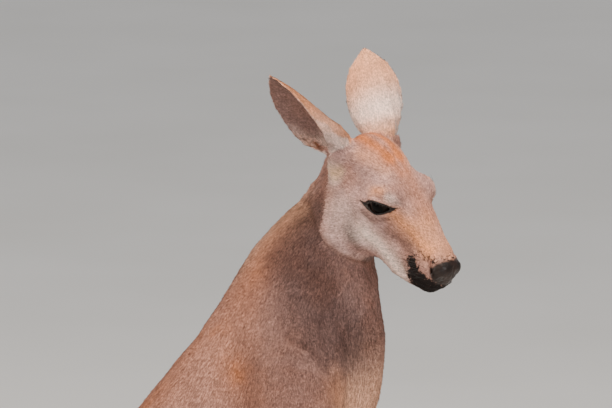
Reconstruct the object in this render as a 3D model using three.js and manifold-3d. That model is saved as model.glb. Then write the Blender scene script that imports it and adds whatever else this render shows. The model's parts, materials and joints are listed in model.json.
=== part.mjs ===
// A red kangaroo standing upright, life size, as a still museum model.
// Millimetres, +Z up, the animal faces -Y and its left side is +X. The soles and the tail rest on z = 0.
// The body is one implicit field of smoothly blended limbs. It is meshed region by region, thinned to a
// triangle budget, and parted with thin gaps into head, neck, trunk, tail and limbs. Ears, eyes and claws
// are built as solids of their own.
import * as THREE from "three";
import { mergeVertices } from "three/addons/utils/BufferGeometryUtils.js";
import Module from "manifold-3d";

const wasm = await Module();
wasm.setup();

// ---------------------------------------------------------------- driving dimensions
const GAP = 0.35; // clearance between neighbouring solids
const SIDES = { right: -1, left: 1 };

const HEAD = {
  eyes: [-35, -315, 1062], // midway between the eyes
  yaw: 28.5, // turned to the animal's right, degrees
  pitch: 33.5, // nose below level
  roll: 4.5, // left side raised
};
const EYE = { forward: 0, out: 32.5, up: 0, radius: 15.5 };
const LID_OPENING = { length: 17.5, height: 7.4, tilt: -22 }; // half sizes, and degrees nose-end down
const EAR = {
  root: [-86, 38, 8],
  thickness: 4.2,
  right: { axis: [-0.685, -0.505, 0.525], opening: [0.2, -0.86, -0.44], length: 146 },
  left: { axis: [-0.81, 0.17, 0.55], opening: [-0.47, 0.72, -0.52], length: 134 },
};
const CLAW_SIDES = 5;
const CLAW_BEND = 0.16; // how far a claw's tip drops, as a share of its length
const SOLE_DEPTH = 2; // how far the soles are modelled below the floor before they are cut flat

// ---------------------------------------------------------------- frames
const turn = THREE.MathUtils.degToRad;
const vec = (p) => new THREE.Vector3(...p);

// The head's own frame: x towards the nose along the palate, y to its left, z up, origin between the eyes.
function headFrame() {
  const [yaw, pitch, roll] = [HEAD.yaw, HEAD.pitch, HEAD.roll].map(turn);
  const forward = new THREE.Vector3(
    -Math.sin(yaw) * Math.cos(pitch),
    -Math.cos(yaw) * Math.cos(pitch),
    -Math.sin(pitch),
  );
  const left = new THREE.Vector3(Math.cos(yaw), -Math.sin(yaw), 0).applyAxisAngle(forward, roll);
  const up = forward.clone().cross(left);
  return new THREE.Matrix4().makeBasis(forward, left, up).setPosition(...HEAD.eyes);
}
const headMatrix = headFrame();
const headInverse = headMatrix.clone().invert();
const mirrorY = (p, side) => [p[0], side * p[1], p[2]];
const mirrorX = (rows, side) => rows.map(([x, ...rest]) => [side * x, ...rest]);
const atHead = (p) => vec(p).applyMatrix4(headMatrix);
const headDirection = (p) => vec(p).transformDirection(headMatrix);

// ---------------------------------------------------------------- fields: negative inside, in millimetres
const blend = (a, b, k) => {
  const h = Math.max(k - Math.abs(a - b), 0) / k;
  return Math.min(a, b) - (h * h * k) / 4;
};
const carve = (a, b, k) => -blend(-a, b, k);

// Catmull-Rom through rows of numbers, `steps` rows for each span.
function smoothRows(rows, steps) {
  const row = (i) => rows[Math.min(Math.max(i, 0), rows.length - 1)];
  const out = [];
  for (let i = 0; i < rows.length - 1; i++)
    for (let s = 0; s < steps; s++) {
      const t = s / steps;
      out.push(
        row(i).map((p1, c) => {
          const [p0, p2, p3] = [row(i - 1)[c], row(i + 1)[c], row(i + 2)[c]];
          const square = 2 * p0 - 5 * p1 + 4 * p2 - p3;
          const cube = 3 * p1 - p0 - 3 * p2 + p3;
          return 0.5 * (2 * p1 + (p2 - p0) * t + square * t * t + cube * t ** 3);
        }),
      );
    }
  out.push(rows.at(-1));
  return out;
}

// A limb: rows of x, y, z, half width (along `across`) and half depth (square to it and to the limb).
function limb(rows, across = [1, 0, 0], steps = 5) {
  const chain = smoothRows(rows, steps);
  const spans = chain.slice(1).map((end, i) => {
    const start = chain[i];
    const along = vec(end.slice(0, 3)).sub(vec(start.slice(0, 3)));
    const length = along.length();
    along.normalize();
    const side = vec(across).addScaledVector(along, -vec(across).dot(along)).normalize();
    const deep = along.clone().cross(side);
    return { start, end, length, along, side, deep, reach: Math.max(start[3], start[4], end[3], end[4]) };
  });
  return (x, y, z) => {
    let best = Infinity;
    for (const { start, end, length, along, side, deep, reach } of spans) {
      let [dx, dy, dz] = [x - start[0], y - start[1], z - start[2]];
      const t = Math.min(Math.max((dx * along.x + dy * along.y + dz * along.z) / length, 0), 1);
      const s = t * length;
      dx -= s * along.x;
      dy -= s * along.y;
      dz -= s * along.z;
      const far = Math.hypot(dx, dy, dz);
      if (far - reach > best) continue;
      const a = start[3] + (end[3] - start[3]) * t;
      const b = start[4] + (end[4] - start[4]) * t;
      const u = (dx * side.x + dy * side.y + dz * side.z) / a;
      const v = (dx * deep.x + dy * deep.y + dz * deep.z) / b;
      const w = (dx * along.x + dy * along.y + dz * along.z) / ((a + b) / 2);
      const k = Math.sqrt(u * u + v * v + w * w);
      best = Math.min(best, k > 1e-6 ? far * (1 - 1 / k) : -Math.min(a, b));
    }
    return best;
  };
}

function ellipsoid([cx, cy, cz], [rx, ry, rz]) {
  return (x, y, z) => {
    const [dx, dy, dz] = [x - cx, y - cy, z - cz];
    const k = Math.hypot(dx / rx, dy / ry, dz / rz);
    return k > 1e-6 ? Math.hypot(dx, dy, dz) * (1 - 1 / k) : -Math.min(rx, ry, rz);
  };
}

// ---------------------------------------------------------------- head, in its own frame
// Stations from the nape to the nose: x, top, bottom, half width, level of the widest point, squareness.
const HEAD_STATIONS = [
  [-112, -6, -40, 20, -22, 2],
  [-100, 14, -56, 34, -20, 2],
  [-82, 27, -70, 42, -18, 2.1],
  [-58, 36, -82, 45, -20, 2.1],
  [-28, 38, -88, 45, -22, 2.1],
  [0, 33, -86, 41, -24, 2.2],
  [25, 24, -82, 35, -30, 2.4],
  [50, 13, -83, 30, -36, 2.6],
  [74, 4, -79, 25, -38, 2.6],
  [94, -3, -68, 21.5, -36, 2.4],
  [106, -9, -60, 18, -34, 2.3],
  [113, -16, -52, 13, -33, 2.1],
  [118, -28, -38, 4, -33, 2],
];

function headBarrel() {
  const rows = smoothRows(HEAD_STATIONS, 6);
  const [first, last] = [rows[0][0], rows.at(-1)[0]];
  return (x, y, z) => {
    const at = Math.min(Math.max(x, first), last);
    let i = 1;
    while (rows[i][0] < at) i++;
    const [p, q] = [rows[i - 1], rows[i]];
    const t = (at - p[0]) / (q[0] - p[0]);
    const [, top, bottom, half, level, square] = p.map((v, c) => v + (q[c] - v) * t);
    const h = z - level;
    const reach = h > 0 ? top - level : level - bottom;
    const k = (Math.abs(y / half) ** square + Math.abs(h / reach) ** square) ** (1 / square);
    const radial = Math.hypot(y, h);
    const flat = k > 1e-6 ? radial * (1 - 1 / k) : -Math.min(half, reach);
    const beyond = Math.abs(x - at);
    return beyond > 0 ? Math.hypot(Math.max(flat, 0), beyond) : flat;
  };
}

// Paired swellings: centre, radii, and how softly each blends in.
const SWELLINGS = {
  brow: [[1, 29.5, 17], [22, 12.5, 13], 14],
  cheek: [[-28, 31, -48], [38, 16, 32], 18],
  whiskerPad: [[86, 13, -38], [24, 12.5, 18], 10],
  nostrilWing: [[105, 12, -24], [11, 9, 10], 6],
  earRoot: [[-84, 36, 6], [20, 17, 20], 16],
  lids: [[EYE.forward, EYE.out, EYE.up], [18.2, 18.2, 18.2], 12],
};
const MIDLINE = {
  nosePad: [[109, 0, -24], [9, 18, 13], 6],
  chin: [[86, 0, -60], [20, 14, 11], 8],
  crown: [[-62, 0, 24], [34, 30, 16], 20],
};
const HOLLOWS = {
  tear: [[31, 41, -10], [18, 9, 12], 16],
  temple: [[-44, 54, 8], [22, 9, 14], 18],
  muzzleSide: [[58, 34, -22], [24, 8, 16], 14],
};

function headField() {
  const barrel = headBarrel();
  const paired = Object.values(SWELLINGS).map(([c, r, k]) => [ellipsoid(c, r), k]);
  const middle = Object.values(MIDLINE).map(([c, r, k]) => [ellipsoid(c, r), k]);
  const hollows = Object.values(HOLLOWS).map(([c, r, k]) => [ellipsoid(c, r), k]);
  return (x, y, z) => {
    const side = Math.abs(y);
    let d = barrel(x, y, z);
    for (const [field, k] of middle) d = blend(d, field(x, y, z), k);
    for (const [field, k] of hollows) d = carve(d, field(x, side, z), k);
    for (const [field, k] of paired) d = blend(d, field(x, side, z), k);
    return d;
  };
}

// ---------------------------------------------------------------- body
// Rows of x, y, z, half width, half depth, from the tail root up to the nape.
const TRUNK = [
  [0, 118, 430, 56, 66],
  [0, 82, 492, 90, 100],
  [0, 30, 570, 104, 124],
  [0, -34, 652, 107, 132],
  [0, -92, 728, 103, 132],
  [0, -138, 795, 96, 127],
  [0, -167, 865, 88, 111],
  [0, -186, 930, 74, 94],
  [1, -200, 975, 62, 74],
  [4, -215, 1012, 54, 57],
  [7, -232, 1047, 47, 49],
  [10, -247, 1075, 41, 46],
];
const TAIL = [
  [0, 100, 455, 62, 70],
  [2, 165, 370, 52, 60],
  [5, 235, 268, 46, 52],
  [10, 315, 170, 41, 45],
  [18, 405, 88, 36, 39],
  [28, 505, 43, 31, 33],
  [38, 610, 24.4, 26, 27],
  [44, 710, 18.2, 20, 21],
  [44, 790, 11.6, 13, 14],
  [42, 822, 7.8, 9, 10],
];
const LEG = {
  thigh: [
    [70, 50, 520, 56, 86],
    [92, -40, 470, 56, 90],
    [108, -118, 420, 47, 70],
    [114, -168, 384, 38, 50],
  ],
  ham: [
    [66, 88, 492, 52, 62],
    [90, 30, 420, 48, 68],
    [104, -38, 352, 40, 56],
    [110, -92, 300, 31, 42],
  ],
  shin: [
    [114, -176, 378, 36, 42],
    [113, -118, 312, 35, 48],
    [107, -34, 212, 27, 37],
    [101, 44, 116, 18, 25],
    [98, 84, 64, 19, 26],
  ],
  heel: [
    [98, 96, 60, 15, 18],
    [97, 108, 30, 18, 20],
  ],
  foot: [
    [97, 104, 23, 18, 25],
    [99, 50, 27, 21, 29],
    [103, -40, 24.5, 22, 27],
    [108, -120, 19.5, 24, 22],
  ],
  fourthToe: [
    [110, -118, 17, 16, 18.5],
    [113, -180, 14.5, 13, 16],
    [115, -226, 11.8, 11, 13],
  ],
  fifthToe: [
    [121, -100, 15.5, 12, 17],
    [131, -148, 11.6, 9, 13],
    [133, -168, 9, 8, 10],
  ],
  pairedToes: [
    [95, -104, 15, 10, 15],
    [89, -150, 11, 9, 12],
    [88, -166, 8.2, 8, 9],
  ],
};
const ARM = {
  shoulder: [
    [60, -182, 905, 30, 46],
    [78, -193, 856, 38, 60],
    [87, -198, 800, 38, 60],
    [99, -190, 740, 31, 44],
    [110, -172, 684, 24, 28],
    [112, -164, 668, 21, 24],
  ],
  forearm: [
    [112, -164, 672, 22, 26],
    [109, -206, 640, 21, 24],
    [96, -266, 592, 15, 17],
    [86, -300, 562, 12, 13],
  ],
  palm: [
    [85, -304, 556, 10, 9],
    [81, -322, 526, 19, 11],
    [78, -332, 500, 19, 10],
  ],
};
// Fingers fan out from the palm: offset across it, length, and how far they spread.
const FINGERS = [
  { across: 15, length: 30, spread: 10, lift: 6 },
  { across: 8, length: 38, spread: 5, lift: 1 },
  { across: 0, length: 41, spread: 0, lift: 0 },
  { across: -8, length: 37, spread: -5, lift: 1 },
  { across: -15, length: 27, spread: -11, lift: 5 },
];
const FINGER_RADIUS = [6.2, 4.4];
const FINGER_CLAW = { length: 17, root: 3.6 };

const armSide = new THREE.Vector3(0.9, 0.4, 0.1).normalize(); // across the palm
const armDown = new THREE.Vector3(-0.12, -0.34, -0.93).normalize();
const palmOut = armDown.clone().cross(armSide).normalize();

function fingerRows({ across, length, spread, lift }) {
  const knuckle = vec(ARM.palm.at(-1).slice(0, 3)).addScaledVector(armSide, across);
  knuckle.addScaledVector(armDown, -Math.abs(across) * 0.35);
  const tip = knuckle.clone().addScaledVector(armDown, length).addScaledVector(armSide, spread);
  tip.addScaledVector(palmOut, lift);
  const middle = knuckle.clone().lerp(tip, 0.5).addScaledVector(palmOut, -4);
  return [
    [...knuckle, FINGER_RADIUS[0], FINGER_RADIUS[0]],
    [...middle, FINGER_RADIUS[0] * 0.92, FINGER_RADIUS[0] * 0.92],
    [...tip, FINGER_RADIUS[1], FINGER_RADIUS[1]],
  ];
}

function legField(side) {
  const part = (name, across) => limb(mirrorX(LEG[name], side), across);
  const [thigh, ham, shin, heel, foot] = ["thigh", "ham", "shin", "heel", "foot"].map((n) => part(n));
  const toes = ["fourthToe", "fifthToe", "pairedToes"].map((n) => part(n));
  return (x, y, z) => {
    let d = blend(thigh(x, y, z), ham(x, y, z), 40);
    d = blend(d, shin(x, y, z), 26);
    d = blend(d, heel(x, y, z), 14);
    let f = foot(x, y, z);
    for (const toe of toes) f = blend(f, toe(x, y, z), 8);
    return blend(d, f, 18);
  };
}

function armField(side) {
  const shoulder = limb(mirrorX(ARM.shoulder, side));
  const forearm = limb(mirrorX(ARM.forearm, side));
  const palm = limb(mirrorX(ARM.palm, side), [side * armSide.x, armSide.y, armSide.z]);
  const fingers = FINGERS.map((f) => limb(mirrorX(fingerRows(f), side)));
  return {
    upper: (x, y, z) => blend(shoulder(x, y, z), forearm(x, y, z), 14),
    lower: (x, y, z) => {
      const d = blend(blend(shoulder(x, y, z), forearm(x, y, z), 14), palm(x, y, z), 6);
      let hand = Infinity;
      for (const finger of fingers) hand = Math.min(hand, finger(x, y, z));
      return blend(d, hand, 5);
    },
  };
}

// Throat and chest folds that the trunk's ellipses leave out.
const CHEST = {
  keel: [[0, -250, 850], [46, 30, 92], 34],
  belly: [[0, -146, 640], [78, 66, 105], 50],
  rump: [[0, 96, 520], [84, 52, 62], 50],
};

function coreField() {
  const trunk = limb(TRUNK);
  const tail = limb(TAIL);
  const head = headField();
  const bulges = Object.values(CHEST).map(([c, r, k]) => [ellipsoid(c, r), k]);
  const m = headInverse.elements;
  return (x, y, z) => {
    let d = z < 620 ? tail(x, y, z) : Infinity;
    if (z > 240) d = blend(d, trunk(x, y, z), 40);
    if (z > 340 && z < 1100) for (const [field, k] of bulges) d = blend(d, field(x, y, z), k);
    if (z < 860) return d;
    const hx = m[0] * x + m[4] * y + m[8] * z + m[12];
    const hy = m[1] * x + m[5] * y + m[9] * z + m[13];
    const hz = m[2] * x + m[6] * y + m[10] * z + m[14];
    return blend(d, head(hx, hy, hz), 22);
  };
}
const core = coreField();
const legs = { right: legField(SIDES.right), left: legField(SIDES.left) };
const arms = { right: armField(SIDES.right), left: armField(SIDES.left) };

// The whole skin. Below the armpits the arms blend in less and less.
function body(x, y, z) {
  let d = core(x, y, z);
  const name = x < 0 ? "right" : "left";
  if (z < 700) d = blend(d, legs[name](x, y, z), 30);
  const softness = Math.min(26, Math.max(4, 26 - (760 - z) * 0.3));
  if (z > 600 && y < -60) d = blend(d, arms[name].upper(x, y, z), softness);
  return Math.max(d, -z - SOLE_DEPTH);
}

// ---------------------------------------------------------------- meshing
// The six tetrahedra of a unit cube, by corner number (bit 0 is x, bit 1 is y, bit 2 is z).
const TETS = [
  [0, 1, 3, 7],
  [0, 3, 2, 7],
  [0, 2, 6, 7],
  [0, 6, 4, 7],
  [0, 4, 5, 7],
  [0, 5, 1, 7],
];

// Marching tetrahedra: always a closed surface, whose box sides cap what runs out of the box.
function contour(field, low, high, step) {
  const n = low.map((v, c) => Math.ceil((high[c] - v) / step) + 1);
  const index = (i, j, k) => i + n[0] * (j + n[1] * k);
  const values = new Float64Array(n[0] * n[1] * n[2]);
  for (let k = 0; k < n[2]; k++)
    for (let j = 0; j < n[1]; j++)
      for (let i = 0; i < n[0]; i++) {
        const rim = i === 0 || j === 0 || k === 0 || i === n[0] - 1 || j === n[1] - 1 || k === n[2] - 1;
        const v = rim ? step : field(low[0] + i * step, low[1] + j * step, low[2] + k * step);
        values[index(i, j, k)] = Math.abs(v) < 1e-3 ? 1e-3 : v;
      }
  const place = (id) => {
    const [i, j, k] = [id % n[0], Math.floor(id / n[0]) % n[1], Math.floor(id / (n[0] * n[1]))];
    return [low[0] + i * step, low[1] + j * step, low[2] + k * step];
  };
  const points = [];
  const faces = [];
  const known = new Map();
  const crossing = (a, b) => {
    if (a > b) [a, b] = [b, a];
    const key = a * values.length + b;
    if (!known.has(key)) {
      const t = values[a] / (values[a] - values[b]);
      const [p, q] = [place(a), place(b)];
      known.set(key, points.push(p.map((v, c) => v + (q[c] - v) * t)) - 1);
    }
    return known.get(key);
  };
  const add = (a, b, c, out) => {
    const [p, q, r] = [a, b, c].map((i) => points[i]);
    const normal = vec(q).sub(vec(p)).cross(vec(r).sub(vec(p)));
    faces.push(normal.dot(out) >= 0 ? [a, b, c] : [a, c, b]);
  };
  for (let k = 0; k < n[2] - 1; k++)
    for (let j = 0; j < n[1] - 1; j++)
      for (let i = 0; i < n[0] - 1; i++)
        for (const tet of TETS) {
          const ids = tet.map((c) => index(i + (c & 1), j + ((c >> 1) & 1), k + (c >> 2)));
          const inside = ids.filter((id) => values[id] < 0);
          const outside = ids.filter((id) => values[id] >= 0);
          if (!inside.length || !outside.length) continue;
          const sum = (set) => set.reduce((s, id) => s.add(vec(place(id))), new THREE.Vector3());
          const middle = (set) => sum(set).divideScalar(set.length);
          const out = middle(outside).sub(middle(inside));
          if (inside.length === 2) {
            const [a, b, c, d] = [
              crossing(inside[0], outside[0]),
              crossing(inside[0], outside[1]),
              crossing(inside[1], outside[1]),
              crossing(inside[1], outside[0]),
            ];
            add(a, b, c, out);
            add(a, c, d, out);
          } else {
            const [lone, rest] = inside.length === 1 ? [inside[0], outside] : [outside[0], inside];
            add(crossing(lone, rest[0]), crossing(lone, rest[1]), crossing(lone, rest[2]), out);
          }
        }
  return { points, faces };
}

// Edge collapse by squared distance to the surface's planes, down to `target` triangles.
function thin({ points, faces }, target) {
  const around = points.map(() => new Set());
  faces.forEach((f, i) => f.forEach((v) => around[v].add(i)));
  const edge = (from, to) => vec(points[to]).sub(vec(points[from]));
  const normalOf = ([a, b, c]) => edge(a, b).cross(edge(a, c));
  const quadrics = points.map(() => new Float64Array(10));
  for (const f of faces) {
    const normal = normalOf(f);
    const area = normal.length() / 2;
    if (area < 1e-9) continue;
    normal.normalize();
    const plane = [normal.x, normal.y, normal.z, -normal.dot(vec(points[f[0]]))];
    let e = 0;
    for (let i = 0; i < 4; i++)
      for (let j = i; j < 4; j++, e++) for (const v of f) quadrics[v][e] += area * plane[i] * plane[j];
  }
  const error = (q, [x, y, z]) =>
    q[0] * x * x + 2 * q[1] * x * y + 2 * q[2] * x * z + 2 * q[3] * x + q[4] * y * y +
    2 * q[5] * y * z + 2 * q[6] * y + q[7] * z * z + 2 * q[8] * z + q[9];
  const stamp = new Uint32Array(points.length);
  const heap = [];
  const push = (item) => {
    let i = heap.push(item) - 1;
    while (i && heap[(i - 1) >> 1].cost > item.cost) {
      heap[i] = heap[(i - 1) >> 1];
      i = (i - 1) >> 1;
    }
    heap[i] = item;
  };
  const pop = () => {
    const [top, last] = [heap[0], heap.pop()];
    for (let i = 0; heap.length && i < heap.length; ) {
      let c = 2 * i + 1;
      if (c + 1 < heap.length && heap[c + 1].cost < heap[c].cost) c++;
      if (c >= heap.length || heap[c].cost >= last.cost) {
        heap[i] = last;
        break;
      }
      heap[i] = heap[c];
      i = c;
    }
    return top;
  };
  const candidate = (u, v) => {
    const q = quadrics[u].map((w, i) => w + quadrics[v][i]);
    const [p, r] = [points[u], points[v]];
    const choices = [p, r, p.map((w, c) => (w + r[c]) / 2)];
    const m = new THREE.Matrix3(q[0], q[1], q[2], q[1], q[4], q[5], q[2], q[5], q[7]);
    const size = vec(p).distanceTo(vec(r));
    if (Math.abs(m.determinant()) > 1e-6 * (q[0] + q[4] + q[7]) ** 3) {
      const best = new THREE.Vector3(-q[3], -q[6], -q[8]).applyMatrix3(m.invert());
      if (best.distanceTo(vec(p)) < 1.5 * size) choices.push([best.x, best.y, best.z]);
    }
    const costs = choices.map((c) => error(q, c));
    const at = costs.indexOf(Math.min(...costs));
    const bias = 2e-4 * size * size * size * size;
    push({ cost: costs[at] + bias, u, v, place: choices[at], su: stamp[u], sv: stamp[v] });
  };
  for (const f of faces) f.forEach((v, i) => v < f[(i + 1) % 3] && candidate(v, f[(i + 1) % 3]));
  const neighbours = (v) => new Set([...around[v]].flatMap((i) => faces[i]).filter((w) => w !== v));
  let left = faces.length;
  while (left > target && heap.length) {
    const { u, v, place, su, sv } = pop();
    if (stamp[u] !== su || stamp[v] !== sv || !around[u].size || !around[v].size) continue;
    const shared = [...around[u]].filter((i) => around[v].has(i));
    const near = neighbours(v);
    const common = [...neighbours(u)].filter((w) => near.has(w));
    if (shared.length !== 2 || common.length !== 2) continue;
    const kept = [...around[u], ...around[v]].filter((i) => !shared.includes(i));
    const flips = kept.some((i) => {
      const before = normalOf(faces[i]);
      const corners = faces[i].map((w) => vec(w === u || w === v ? place : points[w]));
      const after = corners[1].sub(corners[0]).cross(corners[2].sub(corners[0]));
      return after.dot(before) < 0.25 * after.length() * before.length() || after.length() < 1e-4;
    });
    if (flips) continue;
    points[u] = place;
    quadrics[v].forEach((w, i) => (quadrics[u][i] += w));
    for (const i of shared) {
      faces[i].forEach((w) => around[w].delete(i));
      faces[i] = null;
      left--;
    }
    for (const i of around[v]) {
      faces[i] = faces[i].map((w) => (w === v ? u : w));
      around[u].add(i);
    }
    around[v].clear();
    stamp[u]++;
    for (const w of neighbours(u)) candidate(Math.min(u, w), Math.max(u, w));
  }
  return { points, faces: faces.filter(Boolean) };
}

// ---------------------------------------------------------------- solids
function solidOf(geometry, matrix = new THREE.Matrix4()) {
  const bare = new THREE.BufferGeometry();
  bare.setAttribute("position", geometry.getAttribute("position").clone());
  if (geometry.index) bare.setIndex(geometry.index.clone());
  const merged = mergeVertices(bare.applyMatrix4(matrix), 1e-3);
  return new wasm.Manifold(
    new wasm.Mesh({
      numProp: 3,
      vertProperties: merged.attributes.position.array,
      triVerts: new Uint32Array(merged.index.array),
    }),
  );
}

// The first three numbers of each vertex.
function packed(values, stride) {
  const places = new Float32Array((values.length / stride) * 3);
  for (let i = 0; i < places.length; i++) places[i] = values[Math.floor(i / 3) * stride + (i % 3)];
  return places;
}

function geometryOf({ points, faces }) {
  const g = new THREE.BufferGeometry();
  g.setAttribute("position", new THREE.Float32BufferAttribute(points.flat(), 3));
  g.setIndex(faces.flat());
  return g;
}

function boxSolid([lx, ly, lz], [hx, hy, hz], matrix) {
  const g = new THREE.BoxGeometry(hx - lx, hy - ly, hz - lz);
  g.translate((lx + hx) / 2, (ly + hy) / 2, (lz + hz) / 2);
  return solidOf(g, matrix);
}

// A solid with each vertex moved out, far enough that every face at it moves out by `by`.
function grown(solid, by = 1.2 * GAP) {
  const { vertProperties, triVerts, numProp } = solid.getMesh();
  const places = packed(vertProperties, numProp);
  const points = Array.from({ length: places.length / 3 }, (_, i) => vec(places.slice(3 * i, 3 * i + 3)));
  const normals = points.map(() => []);
  const faces = [];
  for (let f = 0; f < triVerts.length; f += 3) {
    const corners = [...triVerts.slice(f, f + 3)];
    const [a, b, c] = corners.map((i) => points[i]);
    const normal = b.clone().sub(a).cross(c.clone().sub(a)).normalize();
    for (const i of corners) normals[i].push(normal);
    faces.push(corners);
  }
  const moved = points.map((p, i) => {
    const way = normals[i].reduce((sum, n) => sum.add(n), new THREE.Vector3()).normalize();
    for (let pass = 0; pass < 8; pass++) {
      const worst = normals[i].reduce((w, n) => (n.dot(way) < w.dot(way) ? n : w), normals[i][0]);
      way.addScaledVector(worst, 0.3).normalize();
    }
    const least = Math.min(...normals[i].map((n) => n.dot(way)));
    return p.clone().addScaledVector(way, by / Math.max(least, 0.3)).toArray();
  });
  return solidOf(geometryOf({ points: moved, faces }));
}

const largest = (solid) => solid.decompose().sort((a, b) => b.volume() - a.volume())[0];

// A region of a field on the near side of some cuts, meshed at `step`, thinned to `triangles` and cut.
function region(field, cuts, low, high, step, triangles) {
  const planes = cuts.map(([point, normal]) => [vec(point), vec(normal).normalize()]);
  const limited = (x, y, z) => {
    let beyond = -Infinity;
    for (const [p, n] of planes) {
      beyond = Math.max(beyond, (p.x - x) * n.x + (p.y - y) * n.y + (p.z - z) * n.z);
    }
    return beyond > 2 * step ? beyond : field(x, y, z);
  };
  const whole = solidOf(geometryOf(thin(contour(limited, low, high, step), triangles)));
  return largest(whole.intersect(cell(cuts)));
}

// Half of space, as a big box: `normal` points into it and `by` pulls its face inwards.
function half([point, normal], by = GAP / 2) {
  const size = 3000;
  const q = new THREE.Quaternion().setFromUnitVectors(new THREE.Vector3(0, 0, 1), vec(normal).normalize());
  const m = new THREE.Matrix4().compose(vec(point), q, new THREE.Vector3(1, 1, 1));
  return boxSolid([-size, -size, by], [size, size, size], m);
}
const behind = ([point, normal]) => [point, normal.map((v) => -v)];
const cell = (cuts, by) => cuts.map((cut) => half(cut, by)).reduce((a, b) => a.intersect(b));

// ---------------------------------------------------------------- partings
// Each is a point and the way it faces, away from the trunk.
const CUT = {
  floor: [[0, 0, -GAP / 2], [0, 0, 1]], // a cut keeps half a gap clear, so this one lands on z = 0
  neckBase: [[0, -190, 948], [0, -0.28, 0.96]],
  nape: [atHead([-62, 0, -48]).toArray(), headDirection([0.81, 0, 0.58]).toArray()],
  throat: [atHead([0, 0, -90]).toArray(), headDirection([0.1, 0, 1]).toArray()],
  tailRoot: [[0, 128, 410], [0, 0.72, -0.69]],
  tailMiddle: [[0, 300, 188], [0, 0.68, -0.73]],
  tailEnd: [[0, 560, 30], [0, 1, -0.1]],
};
const legCuts = (side) => ({
  knee: [[side * 112, -120, 332], [0, 0.1, -1]],
  ankle: [[side * 98, 70, 84], [0, -0.3, -0.95]],
});
const armCuts = (side) => ({
  elbow: [[side * 112, -172, 668], [0, -0.72, -0.69]],
  wrist: [[side * 85, -304, 557], [0, -0.42, -0.9]],
});

// ---------------------------------------------------------------- flesh nodes
// A box on the animal's left, given by two corners, or its mirror image on the right.
const sided = (side, [x0, y0, z0], [x1, y1, z1]) => {
  const [low, high] = side > 0 ? [x0, x1] : [-x1, -x0];
  return [[low, y0, z0], [high, y1, z1]];
};

// The space nearer to a limb's own axis than to the trunk's, as a solid inside a box.
function zone(limbField, low, high, step, triangles) {
  const nearer = (x, y, z) => limbField(x, y, z) - core(x, y, z);
  return solidOf(geometryOf(thin(contour(nearer, low, high, step), triangles)));
}

// The trunk with both thighs and upper arms, meshed in one and then parted.
function trunkSolids() {
  const cuts = [behind(CUT.neckBase), behind(CUT.tailRoot)];
  const whole = region(body, cuts, [-180, -340, 270], [180, 200, 1010], 11, 1500);
  const parts = {};
  let trunk = whole;
  for (const [name, side] of Object.entries(SIDES)) {
    const leg = zone(legs[name], ...sided(side, [4, -300, 250], [200, 220, 640]), 13, 240);
    const arm = zone(arms[name].upper, ...sided(side, [8, -360, 520], [170, -80, 960]), 11, 220);
    const aboveKnee = cell([behind(legCuts(side).knee)]);
    const aboveElbow = cell([behind(armCuts(side).elbow)]);
    parts[`${name}_thigh`] = largest(whole.intersect(leg).intersect(aboveKnee));
    parts[`${name}_upper_arm`] = largest(whole.intersect(arm).intersect(aboveElbow));
    trunk = trunk.subtract(grown(leg)).subtract(grown(arm));
  }
  return { trunk: largest(trunk), ...parts };
}

function legSolids(name) {
  const side = SIDES[name];
  const { knee, ankle } = legCuts(side);
  return {
    shin: region(body, [knee, behind(ankle)], ...sided(side, [50, -240, 30], [170, 160, 400]), 8.5, 230),
    foot: region(body, [ankle, CUT.floor], ...sided(side, [50, -260, -10], [170, 160, 130]), 5, 360),
  };
}

function armSolids(name) {
  const side = SIDES[name];
  const { elbow, wrist } = armCuts(side);
  const { lower } = arms[name];
  const [forearmBox, handBox] = [
    sided(side, [60, -330, 530], [150, -120, 700]),
    sided(side, [40, -380, 430], [140, -270, 580]),
  ];
  return {
    forearm: region(lower, [elbow, behind(wrist)], ...forearmBox, 6, 120),
    hand: region(lower, [wrist], ...handBox, 2.6, 320),
  };
}

function tailSolids() {
  const cuts = {
    upper: [CUT.tailRoot, behind(CUT.tailMiddle)],
    middle: [CUT.tailMiddle, behind(CUT.tailEnd), CUT.floor],
    end: [CUT.tailEnd, CUT.floor],
  };
  return {
    tail_upper: region(body, cuts.upper, [-90, 60, 100], [110, 400, 480], 11, 200),
    tail_middle: region(body, cuts.middle, [-60, 230, -12], [110, 640, 330], 9, 220),
    tail_end: region(body, cuts.end, [-60, 520, -12], [110, 860, 80], 6, 130),
  };
}

// ---------------------------------------------------------------- eyes, ears and claws
// A closed surface from rings of points, in either order.
function loft(rings) {
  const n = rings[0].length;
  const points = rings.flat().map((p) => [p.x, p.y, p.z]);
  const faces = [];
  for (let r = 0; r < rings.length - 1; r++)
    for (let i = 0; i < n; i++) {
      const [a, b] = [r * n + i, r * n + ((i + 1) % n)];
      faces.push([a, b, b + n], [a, b + n, a + n]);
    }
  for (let i = 1; i < n - 1; i++) {
    const far = (rings.length - 1) * n;
    faces.push([0, i + 1, i], [far, far + i, far + i + 1]);
  }
  const solid = solidOf(geometryOf({ points, faces }));
  if (solid.volume() > 0) return solid;
  return solidOf(geometryOf({ points, faces: faces.map(([a, b, c]) => [a, c, b]) }));
}

function eyeCentre(side) {
  return atHead([EYE.forward, side * EYE.out, EYE.up]);
}
function ball(centre, radius, detail) {
  const g = new THREE.IcosahedronGeometry(radius, detail);
  return solidOf(g, new THREE.Matrix4().setPosition(centre));
}

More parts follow.
